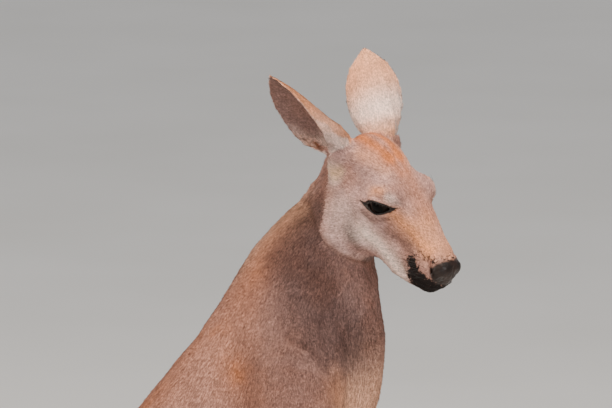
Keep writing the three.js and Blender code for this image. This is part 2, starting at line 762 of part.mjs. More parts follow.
// The almond between the lids, as a prism running outwards from the middle of the eyeball.
function lidOpening(side) {
  const tilt = turn(LID_OPENING.tilt);
  const ring = (y) =>
    Array.from({ length: 16 }, (_, i) => {
      const angle = (2 * Math.PI * i) / 16;
      const x = LID_OPENING.length * Math.cos(angle);
      const z = LID_OPENING.height * Math.sin(angle) * (0.55 + 0.45 * Math.abs(Math.sin(angle)));
      const [rx, rz] = [x * Math.cos(tilt) + z * Math.sin(tilt), z * Math.cos(tilt) - x * Math.sin(tilt)];
      return atHead([EYE.forward + rx, side * (EYE.out + y), EYE.up + rz]);
    });
  return loft([ring(2), ring(40)]);
}

// A leaf curled about its length: half width, half angle of the curl, and the share of the length.
const EAR_ROWS = [
  [15, 165, 0],
  [21, 146, 0.125],
  [29, 114, 0.25],
  [34, 90, 0.375],
  [35.5, 74, 0.53],
  [33, 63, 0.69],
  [24.5, 53, 0.84],
  [8, 42, 0.97],
  [1.5, 40, 1],
];

function earSolid({ root, axis, opening, length }) {
  const along = headDirection(axis);
  const open = headDirection(opening);
  open.addScaledVector(along, -open.dot(along)).normalize();
  const across = along.clone().cross(open);
  const base = atHead(root);
  const around = 8;
  const skin = (inner) =>
    EAR_ROWS.map(([halfWidth, degrees, t]) => {
      const curl = turn(degrees);
      const radius = halfWidth / (curl > Math.PI / 2 ? 1 : Math.sin(curl));
      return Array.from({ length: around }, (_, i) => {
        const s = (2 * i) / (around - 1) - 1;
        const angle = s * curl;
        const rim = 1 - Math.abs(s) ** 3;
        const d = radius - (inner ? EAR.thickness * (0.45 + 0.55 * rim) * (1 - 0.35 * t) : 0);
        const p = base.clone().addScaledVector(along, (t - 0.06) * length);
        const drop = (1 - t) ** 1.5 * 10 * Math.abs(s) ** 2;
        p.addScaledVector(along, drop);
        p.addScaledVector(across, d * Math.sin(angle));
        return p.addScaledVector(open, radius * Math.cos(curl * 0.72) - d * Math.cos(angle) + 5 * t * t);
      });
    });
  const [back, front] = [skin(false), skin(true)];
  return loft(back.map((row, r) => [...row, ...front[r].slice().reverse()]));
}

// A tapering, curving claw whose root is sunk in the digit.
function claw({ root, along, bend, length, radius, squash = 1 }) {
  const forward = along.clone().normalize();
  const down = bend.clone().addScaledVector(forward, -bend.dot(forward)).normalize();
  const side = forward.clone().cross(down);
  const rings = [0, 0.4, 0.75, 1].map((t) => {
    const r = radius * (1 - 0.9 * t ** 1.4);
    const middle = root.clone().addScaledVector(forward, length * t);
    middle.addScaledVector(down, length * CLAW_BEND * t * t);
    return Array.from({ length: CLAW_SIDES }, (_, i) => {
      const angle = (2 * Math.PI * i) / CLAW_SIDES;
      const [u, v] = [r * squash * Math.cos(angle), r * Math.sin(angle)];
      return middle.clone().addScaledVector(side, u).addScaledVector(down, v);
    });
  });
  return loft(rings);
}

const TOE_CLAWS = {
  fourth: { rows: "fourthToe", shift: 0, length: 52, radius: 8.5, back: 6 },
  fifth: { rows: "fifthToe", shift: 0, length: 30, radius: 5.8, back: 4 },
  second: { rows: "pairedToes", shift: -4.2, length: 22, radius: 3.4, back: 5 },
  third: { rows: "pairedToes", shift: 4.2, length: 22, radius: 3.4, back: 5 },
};

function toeClaw(side, { rows, shift, length, radius, back }) {
  const [before, end] = mirrorX(LEG[rows], side).slice(-2).map((r) => vec(r.slice(0, 3)));
  const along = end.clone().sub(before).normalize();
  const root = end.clone().addScaledVector(along, -back);
  root.x += side * shift;
  root.z += 2;
  along.z = -0.02;
  return claw({ root, along, bend: new THREE.Vector3(0, 0, -0.6), length, radius, squash: 0.8 });
}

function fingerClaw(side, finger) {
  const [middle, end] = mirrorX(fingerRows(finger), side).slice(-2).map((r) => vec(r.slice(0, 3)));
  const along = end.clone().sub(middle).normalize();
  const bend = new THREE.Vector3(side * palmOut.x, palmOut.y, palmOut.z).negate();
  const root = end.clone().addScaledVector(along, -1);
  return claw({ root, along, bend, length: FINGER_CLAW.length, radius: FINGER_CLAW.root, squash: 0.8 });
}

// ---------------------------------------------------------------- assembly
const solids = {};
const eyes = {};
for (const [name, side] of Object.entries(SIDES)) eyes[name] = ball(eyeCentre(side), EYE.radius, 1);
const headBox = new THREE.Box3();
for (const x of [-130, 135])
  for (const y of [-70, 70]) for (const z of [-105, 60]) headBox.expandByPoint(atHead([x, y, z]));
let head = region(body, [CUT.nape, CUT.throat], headBox.min.toArray(), headBox.max.toArray(), 4, 1560);
for (const [name, side] of Object.entries(SIDES)) {
  head = head.subtract(lidOpening(side)).subtract(grown(eyes[name]));
}
solids.head = largest(head);
const neck = region(body, [CUT.neckBase], [-110, -330, 900], [110, -90, 1130], 9, 440);
solids.neck = largest(neck.subtract(cell([CUT.nape, CUT.throat], -GAP / 2)));
const outside = grown(solids.head, 1.6 * GAP).add(grown(solids.neck, 1.6 * GAP));
for (const [name, side] of Object.entries(SIDES)) {
  solids[`${name}_eye`] = eyes[name];
  const ear = earSolid({ ...EAR[name], root: mirrorY(EAR.root, side) });
  solids[`${name}_ear`] = largest(ear.subtract(outside));
}
Object.assign(solids, trunkSolids());
for (const [name, side] of Object.entries(SIDES)) {
  const leg = legSolids(name);
  const arm = armSolids(name);
  for (const [part, solid] of Object.entries({ ...leg, ...arm })) solids[`${name}_${part}`] = solid;
  for (const [toe, shape] of Object.entries(TOE_CLAWS))
    solids[`${name}_${toe}_toe_claw`] = largest(toeClaw(side, shape).subtract(grown(leg.foot)));
  FINGERS.forEach((finger, i) => {
    solids[`${name}_finger_claw_${i + 1}`] = largest(fingerClaw(side, finger).subtract(grown(arm.hand)));
  });
}
Object.assign(solids, tailSolids());

const COAT = new THREE.MeshStandardMaterial({ name: "short_fur", color: 0x9c7766, roughness: 0.9 });
const HORN = new THREE.MeshStandardMaterial({ name: "claw_horn", color: 0x1d1815, roughness: 0.45 });
const WET = new THREE.MeshStandardMaterial({ name: "wet_eye", color: 0x0a0706, roughness: 0.08 });
const materialOf = (name) => (name.includes("claw") ? HORN : name.includes("eye") ? WET : COAT);

const kangaroo = new THREE.Group();
kangaroo.name = "kangaroo";
for (const [name, solid] of Object.entries(solids)) {
  const { vertProperties, triVerts, numProp } = solid.getMesh();
  const geometry = new THREE.BufferGeometry();
  geometry.setAttribute("position", new THREE.BufferAttribute(packed(vertProperties, numProp), 3));
  geometry.setIndex(new THREE.BufferAttribute(new Uint32Array(triVerts), 1));
  geometry.computeVertexNormals();
  const mesh = new THREE.Mesh(geometry, materialOf(name));
  mesh.name = name;
  kangaroo.add(mesh);
}

// The origin is the middle of the footprint, on the floor.
const extent = new THREE.Box3().setFromObject(kangaroo);
const middle = extent.getCenter(new THREE.Vector3());
for (const mesh of kangaroo.children) mesh.geometry.translate(-middle.x, -middle.y, 0);

export default kangaroo;
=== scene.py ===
"""A red kangaroo resting on its feet and tail: one skin, a coat in tufts, wet eyes, whiskers and claws."""

import json
import math

import bmesh
import bpy
import numpy as np
from mathutils import Matrix, Vector
from mathutils.bvhtree import BVHTree

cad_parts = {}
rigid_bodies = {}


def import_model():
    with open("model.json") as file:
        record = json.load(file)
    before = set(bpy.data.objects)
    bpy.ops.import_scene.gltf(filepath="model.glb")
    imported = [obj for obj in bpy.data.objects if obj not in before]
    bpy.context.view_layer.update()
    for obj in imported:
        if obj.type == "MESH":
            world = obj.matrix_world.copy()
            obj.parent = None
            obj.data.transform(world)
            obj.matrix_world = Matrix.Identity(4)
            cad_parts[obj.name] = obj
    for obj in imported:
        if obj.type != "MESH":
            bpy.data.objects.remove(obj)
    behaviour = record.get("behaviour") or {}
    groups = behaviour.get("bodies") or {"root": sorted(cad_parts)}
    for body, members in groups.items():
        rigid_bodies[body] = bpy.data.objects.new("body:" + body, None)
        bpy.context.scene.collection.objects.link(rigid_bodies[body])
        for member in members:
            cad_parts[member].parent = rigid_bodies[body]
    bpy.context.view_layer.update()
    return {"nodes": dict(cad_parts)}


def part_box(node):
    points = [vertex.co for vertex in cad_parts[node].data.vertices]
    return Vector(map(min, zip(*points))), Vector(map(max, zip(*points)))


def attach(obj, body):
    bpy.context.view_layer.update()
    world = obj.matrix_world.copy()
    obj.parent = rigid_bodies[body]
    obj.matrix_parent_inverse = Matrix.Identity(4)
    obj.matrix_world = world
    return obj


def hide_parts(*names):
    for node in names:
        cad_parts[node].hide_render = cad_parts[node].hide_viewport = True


for starting_thing in list(bpy.data.objects):
    bpy.data.objects.remove(starting_thing)
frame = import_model()
nodes = frame["nodes"]

MM = 0.001
SIDES = {"right": -1, "left": 1}
TAIL = ["tail_upper", "tail_middle", "tail_end"]
UPRIGHT_PARTS = ["head", "neck", "trunk", *TAIL]
PAIRED_PARTS = ["ear", "upper_arm", "forearm", "hand", "thigh", "shin", "foot"]
FLESH = UPRIGHT_PARTS + [f"{side}_{part}" for part in PAIRED_PARTS for side in SIDES]


# ---------------------------------------------------------------- small sums
def unit(vectors):
    vectors = np.asarray(vectors, float)
    return vectors / np.maximum(np.linalg.norm(vectors, axis=-1, keepdims=True), 1e-9)


def ease(share):
    """0 up to 1 with level ends."""
    share = np.clip(share, 0, 1)
    return share * share * (3 - 2 * share)


def blob(points, centre, radii, soft):
    """1 in the middle of an ellipsoid, 0.5 on its border and 0 outside."""
    far = np.linalg.norm((points - np.array(centre)) / np.array(radii), axis=1)
    return 1 - ease((far - 1 + soft) / (2 * soft))


def distance_to_path(points, path):
    """How far each point is from a line through the corners of path."""
    best = np.full(len(points), np.inf)
    for start, end in zip(path[:-1], path[1:]):
        start, end = np.array(start, float), np.array(end, float)
        step = end - start
        share = np.clip((points - start) @ step / (step @ step), 0, 1)
        best = np.minimum(best, np.linalg.norm(points - start - share[:, None] * step, axis=1))
    return best


def along_path(points, path, width):
    """1 on the line through the corners of path, fading to 0 about one width from it."""
    return hump(distance_to_path(points, path), width)


def hump(far, width):
    """1 where far is 0, fading to 0 on both sides of it."""
    return np.exp(-((far / width) ** 2))


def both_sides(points):
    """Head points folded onto the left side, for what is the same on both."""
    return points * [1, 0, 1] + np.abs(points) * [0, 1, 0]


def onto_right(points):
    """Body points folded onto the right side, for what is the same on both."""
    folded = points.copy()
    folded[:, 0] = -np.abs(points[:, 0])
    return folded


# ---------------------------------------------------------------- the head's own frame, in millimetres
HEAD_TURN = math.radians(28.5)  # towards the animal's right
HEAD_DROP = math.radians(33.5)  # nose below level


def box_middle(node):
    low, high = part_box(node)
    return np.array((low + high) / 2)


def box_corners(node):
    low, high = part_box(node)
    return np.array(low), np.array(high)


EYE = {side: box_middle(f"{side}_eye") for side in SIDES}
EYE_RADIUS = float(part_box("right_eye")[1].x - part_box("right_eye")[0].x) / 2
HEAD_ORIGIN = (EYE["right"] + EYE["left"]) / 2
EYE_OUT = float(np.linalg.norm(EYE["left"] - EYE["right"])) / 2 / MM


def head_axes():
    """Forward along the palate, left and up, as rows."""
    left = unit(EYE["left"] - EYE["right"])
    level = math.cos(HEAD_DROP)
    forward = np.array([-math.sin(HEAD_TURN) * level, -math.cos(HEAD_TURN) * level, -math.sin(HEAD_DROP)])
    forward = unit(forward - left * (forward @ left))
    return np.array([forward, left, np.cross(forward, left)])


HEAD_AXES = head_axes()


def to_head(points):
    return (points - HEAD_ORIGIN) @ HEAD_AXES.T / MM


def from_head(points):
    return HEAD_ORIGIN + np.asarray(points, float) * MM @ HEAD_AXES


def head_direction(direction):
    return unit(np.asarray(direction, float) @ HEAD_AXES)


# ---------------------------------------------------------------- meshes as arrays
def new_object(name, mesh):
    made = bpy.data.objects.new(name, mesh)
    bpy.context.scene.collection.objects.link(made)
    return made


def points_of(mesh):
    flat = np.empty(len(mesh.vertices) * 3)
    mesh.vertices.foreach_get("co", flat)
    return flat.reshape(-1, 3)


def normals_of(mesh):
    flat = np.empty(len(mesh.vertices) * 3)
    mesh.vertex_normals.foreach_get("vector", flat)
    return flat.reshape(-1, 3)


def triangles_of(mesh):
    mesh.calc_loop_triangles()
    flat = np.empty(len(mesh.loop_triangles) * 3, np.int32)
    mesh.loop_triangles.foreach_get("vertices", flat)
    return flat.reshape(-1, 3)


def set_points(mesh, points):
    mesh.vertices.foreach_set("co", np.ascontiguousarray(points, np.float32).ravel())
    mesh.update()


def mesh_of_triangles(name, points, triangles):
    mesh = bpy.data.meshes.new(name)
    mesh.vertices.add(len(points))
    mesh.vertices.foreach_set("co", np.ascontiguousarray(points, np.float32).ravel())
    mesh.loops.add(len(triangles) * 3)
    mesh.loops.foreach_set("vertex_index", np.ascontiguousarray(triangles, np.int32).ravel())
    mesh.polygons.add(len(triangles))
    mesh.polygons.foreach_set("loop_start", np.arange(0, len(triangles) * 3, 3, dtype=np.int32))
    mesh.polygons.foreach_set("use_smooth", np.ones(len(triangles), bool))
    mesh.update(calc_edges=True)
    return mesh


def give_values(mesh, **values):
    """Stores named values at the points of a mesh, for its material to read."""
    for name, value in values.items():
        layer = mesh.attributes.new(name, "FLOAT", "POINT")
        layer.data.foreach_set("value", np.ascontiguousarray(value, np.float32))


def as_seen(thing):
    """The mesh of an object with its modifiers applied."""
    seen = thing.evaluated_get(bpy.context.evaluated_depsgraph_get())
    return bpy.data.meshes.new_from_object(seen)


class Web:
    """Which points of a mesh are joined by an edge, for spreading values over the surface."""

    def __init__(self, mesh):
        edges = np.empty(len(mesh.edges) * 2, np.int32)
        mesh.edges.foreach_get("vertices", edges)
        one, other = edges.reshape(-1, 2).T
        self.count = len(mesh.vertices)
        self.here = np.concatenate([one, other])
        self.there = np.concatenate([other, one])
        self.ways = np.maximum(np.bincount(self.here, minlength=self.count), 1)

    def mean(self, values):
        columns = values.reshape(self.count, -1)
        sums = [np.bincount(self.here, columns[self.there, k], self.count) for k in range(columns.shape[1])]
        return (np.stack(sums, 1) / self.ways[:, None]).reshape(values.shape)

    def spread(self, values, passes):
        for _ in range(passes):
            values = (values + self.mean(values)) / 2
        return values


def swirl(web, seed, size):
    """A smooth random angle over the skin, about -1 to 1."""
    values = web.spread(np.random.default_rng(seed).normal(size=web.count), size)
    return values / (2 * values.std())


# ---------------------------------------------------------------- the skin: one closed surface
VOXEL = 2.3 * MM
PARTING_GROWTH = 1.0  # millimetres that each solid is grown, to close the thin cuts between them
EAR_GROWTH = 1.4  # more on the ears, so that their thin rims hold together
SOCKET_FILL = 1.1 * MM  # how far the filled socket stands outside the eyeball
BODY_FACES = 54000  # left after the body away from the head is thinned

# Where the skin keeps its fine faces, in the head's millimetres: round the face and round each ear.
FACE_REACH = (10, 0, -30), (150, 110, 110)  # its middle and half sizes
EAR_REACH = (95, 95, 95)

# Passes of smoothing, and the depth of the coat in millimetres, by part.
SMOOTHING = dict(head=7, neck=26, trunk=34, tail_upper=30, tail_middle=26, tail_end=18, ear=5, upper_arm=18,
                 forearm=10, hand=4, thigh=26, shin=14, foot=6)
COAT_DEPTH = dict(head=2.0, neck=4.6, trunk=5.0, tail_upper=4.0, tail_middle=3.0, tail_end=2.4, ear=0.5,
                  upper_arm=3.6, forearm=2.2, hand=0.7, thigh=4.4, shin=2.4, foot=1.0)
BROAD_PARTS = ("neck", "trunk", "tail_upper", "tail_middle", "upper_arm", "thigh")
PIT_TURN = 0.88  # a point that faces further from its surroundings than this belongs to a pit or a peak
PIT_PASSES = 30
FLOOR_GAP = 0.3 * MM  # what rests on the floor is this far above it
EAR_INSET = 0.35  # how far the ears' skin lies inside their solids, in millimetres


def part_of(node):
    return node.split("_", 1)[1] if node.split("_")[0] in SIDES else node


def on_parts(parts, *names):
    """Whether each point is on one of these parts, of either side."""
    return np.isin(parts, [FLESH.index(node) for node in FLESH if part_of(node) in names])


def growth_of(node):
    return EAR_GROWTH if part_of(node) == "ear" else PARTING_GROWTH


def joined_flesh():
    """The flesh as one mesh, each solid grown so that the partings close, with the eye sockets filled."""
    joined = bmesh.new()
    for name in FLESH:
        grown = bmesh.new()
        grown.from_mesh(nodes[name].data)
        bmesh.ops.remove_doubles(grown, verts=grown.verts, dist=0.01 * MM)
        grown.normal_update()
        for vertex in grown.verts:
            vertex.co += vertex.normal * growth_of(name) * MM
        solid = bpy.data.meshes.new(name)
        grown.to_mesh(solid)
        grown.free()
        joined.from_mesh(solid)
        bpy.data.meshes.remove(solid)
    for eye in EYE.values():
        bmesh.ops.create_uvsphere(joined, u_segments=48, v_segments=24, radius=EYE_RADIUS + SOCKET_FILL,
                                  matrix=Matrix.Translation(eye))
    mesh = bpy.data.meshes.new("flesh")
    joined.to_mesh(mesh)
    joined.free()
    return mesh


def voxel_skin():
    draft = new_object("skin_draft", joined_flesh())
    remesh = draft.modifiers.new("voxels", "REMESH")
    remesh.mode = "VOXEL"
    remesh.voxel_size = VOXEL
    mesh = as_seen(draft)
    draft.modifiers.clear()
    draft.data = mesh
    return draft


def outer_surface(mesh):
    """The largest connected surface: pockets left inside the partings are dropped."""
    triangles = triangles_of(mesh)
    pairs = np.concatenate([triangles[:, [0, 1]], triangles[:, [1, 2]]])
    label = np.arange(len(mesh.vertices))
    while True:
        lower = label[pairs].min(1)
        merged = label.copy()
        np.minimum.at(merged, pairs[:, 0], lower)
        np.minimum.at(merged, pairs[:, 1], lower)
        merged = merged[merged]
        if np.array_equal(merged, label):
            break
        label = merged
    largest = np.bincount(label).argmax()
    used, numbers = np.unique(triangles[label[triangles[:, 0]] == largest], return_inverse=True)
    return mesh_of_triangles("skin", points_of(mesh)[used], numbers.reshape(-1, 3))


def thinned_away_from_head(draft):
    """Fewer, larger faces on the body, where the form is plain; the head and ears keep theirs."""
    points = points_of(draft.data)
    middle = to_head(points)
    ear_middles = [to_head(box_middle(f"{side}_ear")) for side in SIDES]
    by_ears = np.max([blob(middle, ear, EAR_REACH, 0.1) for ear in ear_middles], 0)
    fine = np.maximum(blob(middle, *FACE_REACH, 0.08), by_ears) > 0.5
    group = draft.vertex_groups.new(name="body")
    group.add(np.nonzero(~fine)[0].tolist(), 1.0, "REPLACE")
    thin = draft.modifiers.new("thin", "DECIMATE")
    thin.vertex_group = group.name
    thin.use_collapse_triangulate = True
    total = len(triangles_of(draft.data))
    fine_share = fine.mean()
    thin.ratio = min(1.0, BODY_FACES / total + fine_share)
    mesh = as_seen(draft)
    bpy.data.objects.remove(draft)
    mesh.name = "skin"
    return mesh


def nearest_parts(points):
    """The flesh node nearest to each point, by number in FLESH."""
    corners, faces, owner = [], [], []
    for number, name in enumerate(FLESH):
        mesh = nodes[name].data
        offset = sum(len(c) for c in corners)
        corners.append(points_of(mesh))
        triangles = triangles_of(mesh)
        faces.append(triangles + offset)
        owner.append(np.full(len(triangles), number))
    owner = np.concatenate(owner)
    tree = BVHTree.FromPolygons(np.concatenate(corners).tolist(), np.concatenate(faces).tolist())
    return np.array([owner[tree.find_nearest(point)[2]] for point in points.tolist()])


def by_part(table, parts):
    """One value for each point, from a table with a row for each part of the body."""
    return np.array([table[part_of(name)] for name in FLESH], float)[parts]


def smoothed(mesh, web, passes):
    """Evens out the facets without shrinking the form; each point takes its own number of passes."""
    points = points_of(mesh)
    for turn in range(int(passes.max())):
        share = np.clip(passes - turn, 0, 1)[:, None]
        points = points + 0.5 * share * (web.mean(points) - points)
        points = points - 0.53 * share * (web.mean(points) - points)
    set_points(mesh, points)


def refined(mesh, chosen):
    """Each edge between chosen points is cut in two."""
    work = bmesh.new()
    work.from_mesh(mesh)
    work.verts.ensure_lookup_table()
    edges = [e for e in work.edges if chosen[e.verts[0].index] and chosen[e.verts[1].index]]
    bmesh.ops.subdivide_edges(work, edges=edges, cuts=1, use_grid_fill=True)
    bmesh.ops.triangulate(work, faces=[f for f in work.faces if len(f.verts) > 3])
    work.to_mesh(mesh)
    work.free()
    mesh.update()


# The eye's opening, in the head's millimetres: along it towards the nose, and across it upwards.
SLIT_RISE = math.radians(30)
SLIT = dict(half_length=18.2, top=8.2, bottom=8.8)
SLIT_DROP = 2.2  # how far below the ball's middle
SLIT_REACH = 28.5  # how far from the middle the dark creases at its ends reach
LID_RADIUS = EYE_RADIUS / MM + 1.5
MOUTH = [(64, 25, -43), (82, 26, -50), (99, 22, -49), (111, 10, -49), (115, 0, -48)]
NOSTRIL = [(93, 21, -18), (97, 23, -24), (103, 22, -30)]

# Where the faces are made finer, twice over: round the eye and the nose, and beside the mouth.
FINER_REACH = (1.0, 0.62)  # the second time nearer than the first
EYE_FINER = (0, EYE_OUT + 10, 0), (32, 24, 24)
NOSE_FINER = (100, 10, -34), (32, 30, 30)
MOUTH_FINER = 9


def slit_places(head_points, side):
    """Where points are from the eye's middle: along the slit, across it and outwards."""
    x, y, z = head_points.T
    along = x * math.cos(SLIT_RISE) + z * math.sin(SLIT_RISE)
    across = z * math.cos(SLIT_RISE) - x * math.sin(SLIT_RISE) + SLIT_DROP
    return along, across, y * side - EYE_OUT


def slit_height(along, across, grow=0.0):
    """The half height of the opening at a place along it."""
    half = SLIT["half_length"] + grow * 1.4
    height = np.where(across > 0, SLIT["top"], SLIT["bottom"]) + grow
    return height * np.clip(1 - np.abs(along / half) ** 1.9, 0, 1) ** 0.85


def lids(head_points):
    """The lids stand round the ball; inside the slit the skin drops behind it."""
    moved = head_points.copy()
    for side in SIDES.values():
        along, across, out = slit_places(head_points, side)
        radius = np.hypot(along, across - SLIT_DROP)
        near = (out > -4) & (radius < 30)
        lid_out = np.sqrt(np.clip(LID_RADIUS**2 - radius**2, 0, None))
        raised = np.maximum(out, np.where(radius < LID_RADIUS - 0.6, lid_out, -99))
        ball_out = np.sqrt(np.clip((EYE_RADIUS / MM) ** 2 - np.minimum(radius, 15) ** 2, 0, None))
        open_share = ease(0.5 + (slit_height(along, across) - np.abs(across)) / 1.3)
        sunk = raised + (ball_out - 2.4 - raised) * open_share
        upper, under = slit_height(along, 1), slit_height(along, -1)
        upper_fold = hump(across - upper - 5.2, 1.6) * ease(1 - np.abs(along) / 21)
        under_fold = hump(-across - under - 7.0, 2.2) * ease(1 - np.abs(along) / 24)
        under_bag = hump(-across - under - 3.4, 2.4) * ease(1 - np.abs(along) / 19)
        corner = hump(across, 1.3) * ease((np.abs(along) - 15) / 3) * ease((28 - np.abs(along)) / 4)
        sunk = sunk - 1.2 * upper_fold - 1.3 * under_fold + 0.7 * under_bag - 1.2 * corner
        moved[:, 1] = np.where(near, (sunk + EYE_OUT) * side, moved[:, 1])
    return moved


# The forms of the face, in the head's millimetres, folded onto its left side: what each one is, the corners
# of its line, its width, how far it rises, and how far it lies above the line.
FACE_FORMS = [
    ("parting of the lips", MOUTH, 1.7, -2.6, 0),
    ("upper lip", MOUTH, 3.2, 1.1, 4.6),
    ("lower lip", MOUTH, 3.0, 0.9, -4.4),
    ("nostril", NOSTRIL, 2.5, -5.0, 0),
    ("wing of the nose", [(99, 17, -17), (105, 18, -23), (108, 18, -29)], 3.0, 1.5, 0),
    ("groove of the nose", [(116, 0, -14), (118, 0, -28), (116, 0, -44)], 1.2, -1.0, 0),
    ("tear groove", [(24, 33, -16), (34, 30, -26), (46, 27, -32)], 6.0, -2.6, 0),
    ("cheek bone", [(22, 36, -34), (40, 29, -40), (58, 26, -42)], 7.0, 1.6, 0),
    ("hollow of the cheek", [(-26, 49, -32), (-14, 47, -46), (2, 42, -58), (20, 36, -64)], 8.0, -4.6, 0),
    ("fold under the eye", [(-14, 46, -26), (6, 41, -27), (19, 34, -17)], 4.0, -2.2, 0),
    ("jaw muscle", [(-44, 50, -40), (-38, 50, -58), (-18, 48, -70)], 12.0, 2.2, 0),
    ("brow", [(-18, 40, 17), (0, 38, 19), (16, 30, 17)], 5.0, 1.8, 0),
    ("behind the brow", [(-34, 42, 12), (-24, 36, 24), (-4, 28, 30)], 7.0, -2.0, 0),
    ("temple", [(-58, 44, 8), (-46, 46, -8)], 9.0, -2.4, 0),
    ("root of the ear", [(-80, 48, 16), (-74, 50, 0), (-70, 50, -16)], 8.0, 5.0, 0),
    ("dip of the forehead", [(-2, 0, 30), (30, 0, 20)], 9.0, -1.0, 0),
]


def face_forms(head_points):
    """How far the skin of the face is raised over its plain form, in millimetres."""
    folded = both_sides(head_points)
    raised = np.zeros(len(folded))
    for _, line, width, rise, above in FACE_FORMS:
        raised += rise * along_path(folded - [0, 0, above], line, width)
    return raised


JAW_EDGE = [(-86, 56, -62), (-66, 65, -68), (-43, 68, -76), (-28, 64, -81), (-8, 50, -87), (4, 31, -91),
            (8, 16, -94)]
JAW_STEP = np.array([3, 0, -6])  # from the jaw's edge to the neck beyond it


def jaw_fold(head_points):
    """The cheek stands over the neck along the jaw's edge: up on its near side, down beyond it."""
    folded = both_sides(head_points)
    far = distance_to_path(folded, JAW_EDGE)
    above = distance_to_path(folded + JAW_STEP, JAW_EDGE)
    below = distance_to_path(folded - JAW_STEP, JAW_EDGE)
    side = np.clip((below - above) / 7.0, -1, 1)
    return np.where(side > 0, 3.0, 6.5) * side * hump(far, 20.0)


BODY_CREASES = [  # corners of each line in metres, width and depth in millimetres
    ([(-0.108, -0.427, 0.880), (-0.107, -0.450, 0.858), (-0.101, -0.466, 0.838), (-0.09, -0.478, 0.80)],
     11, 10.0),
    ([(-0.085, -0.444, 0.907), (-0.092, -0.456, 0.885), (-0.095, -0.462, 0.864)], 10, 8.0),
    ([(-0.088, -0.350, 0.905), (-0.100, -0.352, 0.850), (-0.098, -0.345, 0.800)], 14, 3.0),
    ([(-0.058, -0.470, 0.985), (-0.068, -0.440, 0.960), (-0.060, -0.400, 0.950)], 9, 2.0),
]


def creases(points):
    """Folds of loose skin in front of and behind the shoulders, in metres outwards."""
    folded = onto_right(points)
    depth = np.zeros(len(points))
    for path, width, deep in BODY_CREASES:
        depth += deep * along_path(folded, path, width * MM)
    return -depth * MM


def sculpted(mesh, web, parts):
    """The face's forms, the folds and a slight unevenness of the flesh, then the lids."""
    is_head = on_parts(parts, "head")
    points = points_of(mesh)
    shape = to_head(points)
    raised = face_forms(shape) * MM
    folds = creases(points) + jaw_fold(shape) * MM
    uneven = np.where(is_head, 0.5, 1.3) * swirl(web, 15, 40) * MM * ~on_parts(parts, "ear")
    points = points + normals_of(mesh) * (np.where(is_head, raised, 0) + folds + uneven)[:, None]
    points = np.where(is_head[:, None], from_head(lids(to_head(points))), points)
    set_points(mesh, points)


def ears_in_place(points, parts, web, inset):
    """The ears' skin, drawn back from the grown form to just inside the ears' own thin solids."""
    placed = points.copy()
    for side in SIDES:
        mesh = nodes[f"{side}_ear"].data
        tree = BVHTree.FromPolygons(points_of(mesh).tolist(), triangles_of(mesh).tolist())
        for number in np.nonzero(parts == FLESH.index(f"{side}_ear"))[0]:
            found, facing, _, _ = tree.find_nearest(Vector(points[number]))
            placed[number] = found - facing * inset[number] * MM
    share = web.spread(on_parts(parts, "ear").astype(float), 2)[:, None]
    return points * (1 - share) + placed * share


def without_pits(mesh, web, parts):
    """Small pits and peaks left where two broad parts meet are evened out."""
    broad = on_parts(parts, *BROAD_PARTS)
    facing = normals_of(mesh)
    around = unit(np.stack([web.spread(facing[:, axis], 12) for axis in range(3)], 1))
    sharp = broad * ease((PIT_TURN - np.sum(facing * around, 1)) / 0.15)
    share = np.clip(5 * web.spread(sharp, 6), 0, 1)[:, None]
    points = points_of(mesh)
    for _ in range(PIT_PASSES):
        points = points + share * (web.mean(points) - points)
    set_points(mesh, points)


def flattened_soles(points, parts, plain_points):
    """What rests on the floor stays at its level; no skin goes below it."""
    low = plain_points[:, 2] < 2.2 * MM
    points[low, 2] = FLOOR_GAP
    points[:, 2] = np.maximum(points[:, 2], FLOOR_GAP)
    return points


def make_skin():
    """The skin, which lies inside the flesh by the coat's depth, with the part that each point is on."""
    mesh = outer_surface(thinned_away_from_head(voxel_skin()))
    web = Web(mesh)
    parts = nearest_parts(points_of(mesh))
    plain = points_of(mesh)
    smoothed(mesh, web, web.spread(by_part(SMOOTHING, parts), 12))
    without_pits(mesh, web, parts)
    coat_depth = web.spread(by_part(COAT_DEPTH, parts), 16)
    placed = ears_in_place(points_of(mesh), parts, web, np.minimum(coat_depth, EAR_INSET))
    set_points(mesh, placed)
    on_ears = on_parts(parts, "ear")
    smoothed(mesh, web, 3.0 * on_ears)
    coat_depth = coat_depth * (1 - web.spread(on_ears.astype(float), 2))
    depth = coat_depth + PARTING_GROWTH
    muzzle = blob(to_head(points_of(mesh)), (112, 0, -36), (48, 44, 44), 0.3)
    depth = np.where(on_ears, 0, depth * (1 - 0.6 * muzzle))
    depth = web.spread(depth, 2)
    points = points_of(mesh) - normals_of(mesh) * depth[:, None] * MM
    set_points(mesh, points)
    without_pits(mesh, web, parts)
    set_points(mesh, flattened_soles(points_of(mesh), parts, plain))
    for reach in FINER_REACH:
        head = both_sides(to_head(points_of(mesh)))
        chosen = distance_to_path(head, MOUTH) < MOUTH_FINER * reach
        for middle, size in (EYE_FINER, NOSE_FINER):
            chosen |= blob(head, middle, np.multiply(size, (reach, 1, reach)), 0.05) > 0.5
        refined(mesh, chosen)
    web = Web(mesh)
    parts = nearest_parts(points_of(mesh))
    smoothed(mesh, web, 3.0 * on_parts(parts, "head"))
    sculpted(mesh, web, parts)
    return mesh, web, parts


# ---------------------------------------------------------------- markings with painted light and shade, the same for skin and coat
def ear_opening(side):
    """The way the hollow of an ear faces."""
    return head_direction((0.2, -0.86, -0.44) if side == "right" else (-0.47, 0.72, -0.52))


def ear_root_and_tip(side):
    points = points_of(nodes[f"{side}_ear"].data)
    far = np.linalg.norm(points - HEAD_ORIGIN, axis=1)
    return points[far.argmin()], points[far.argmax()]


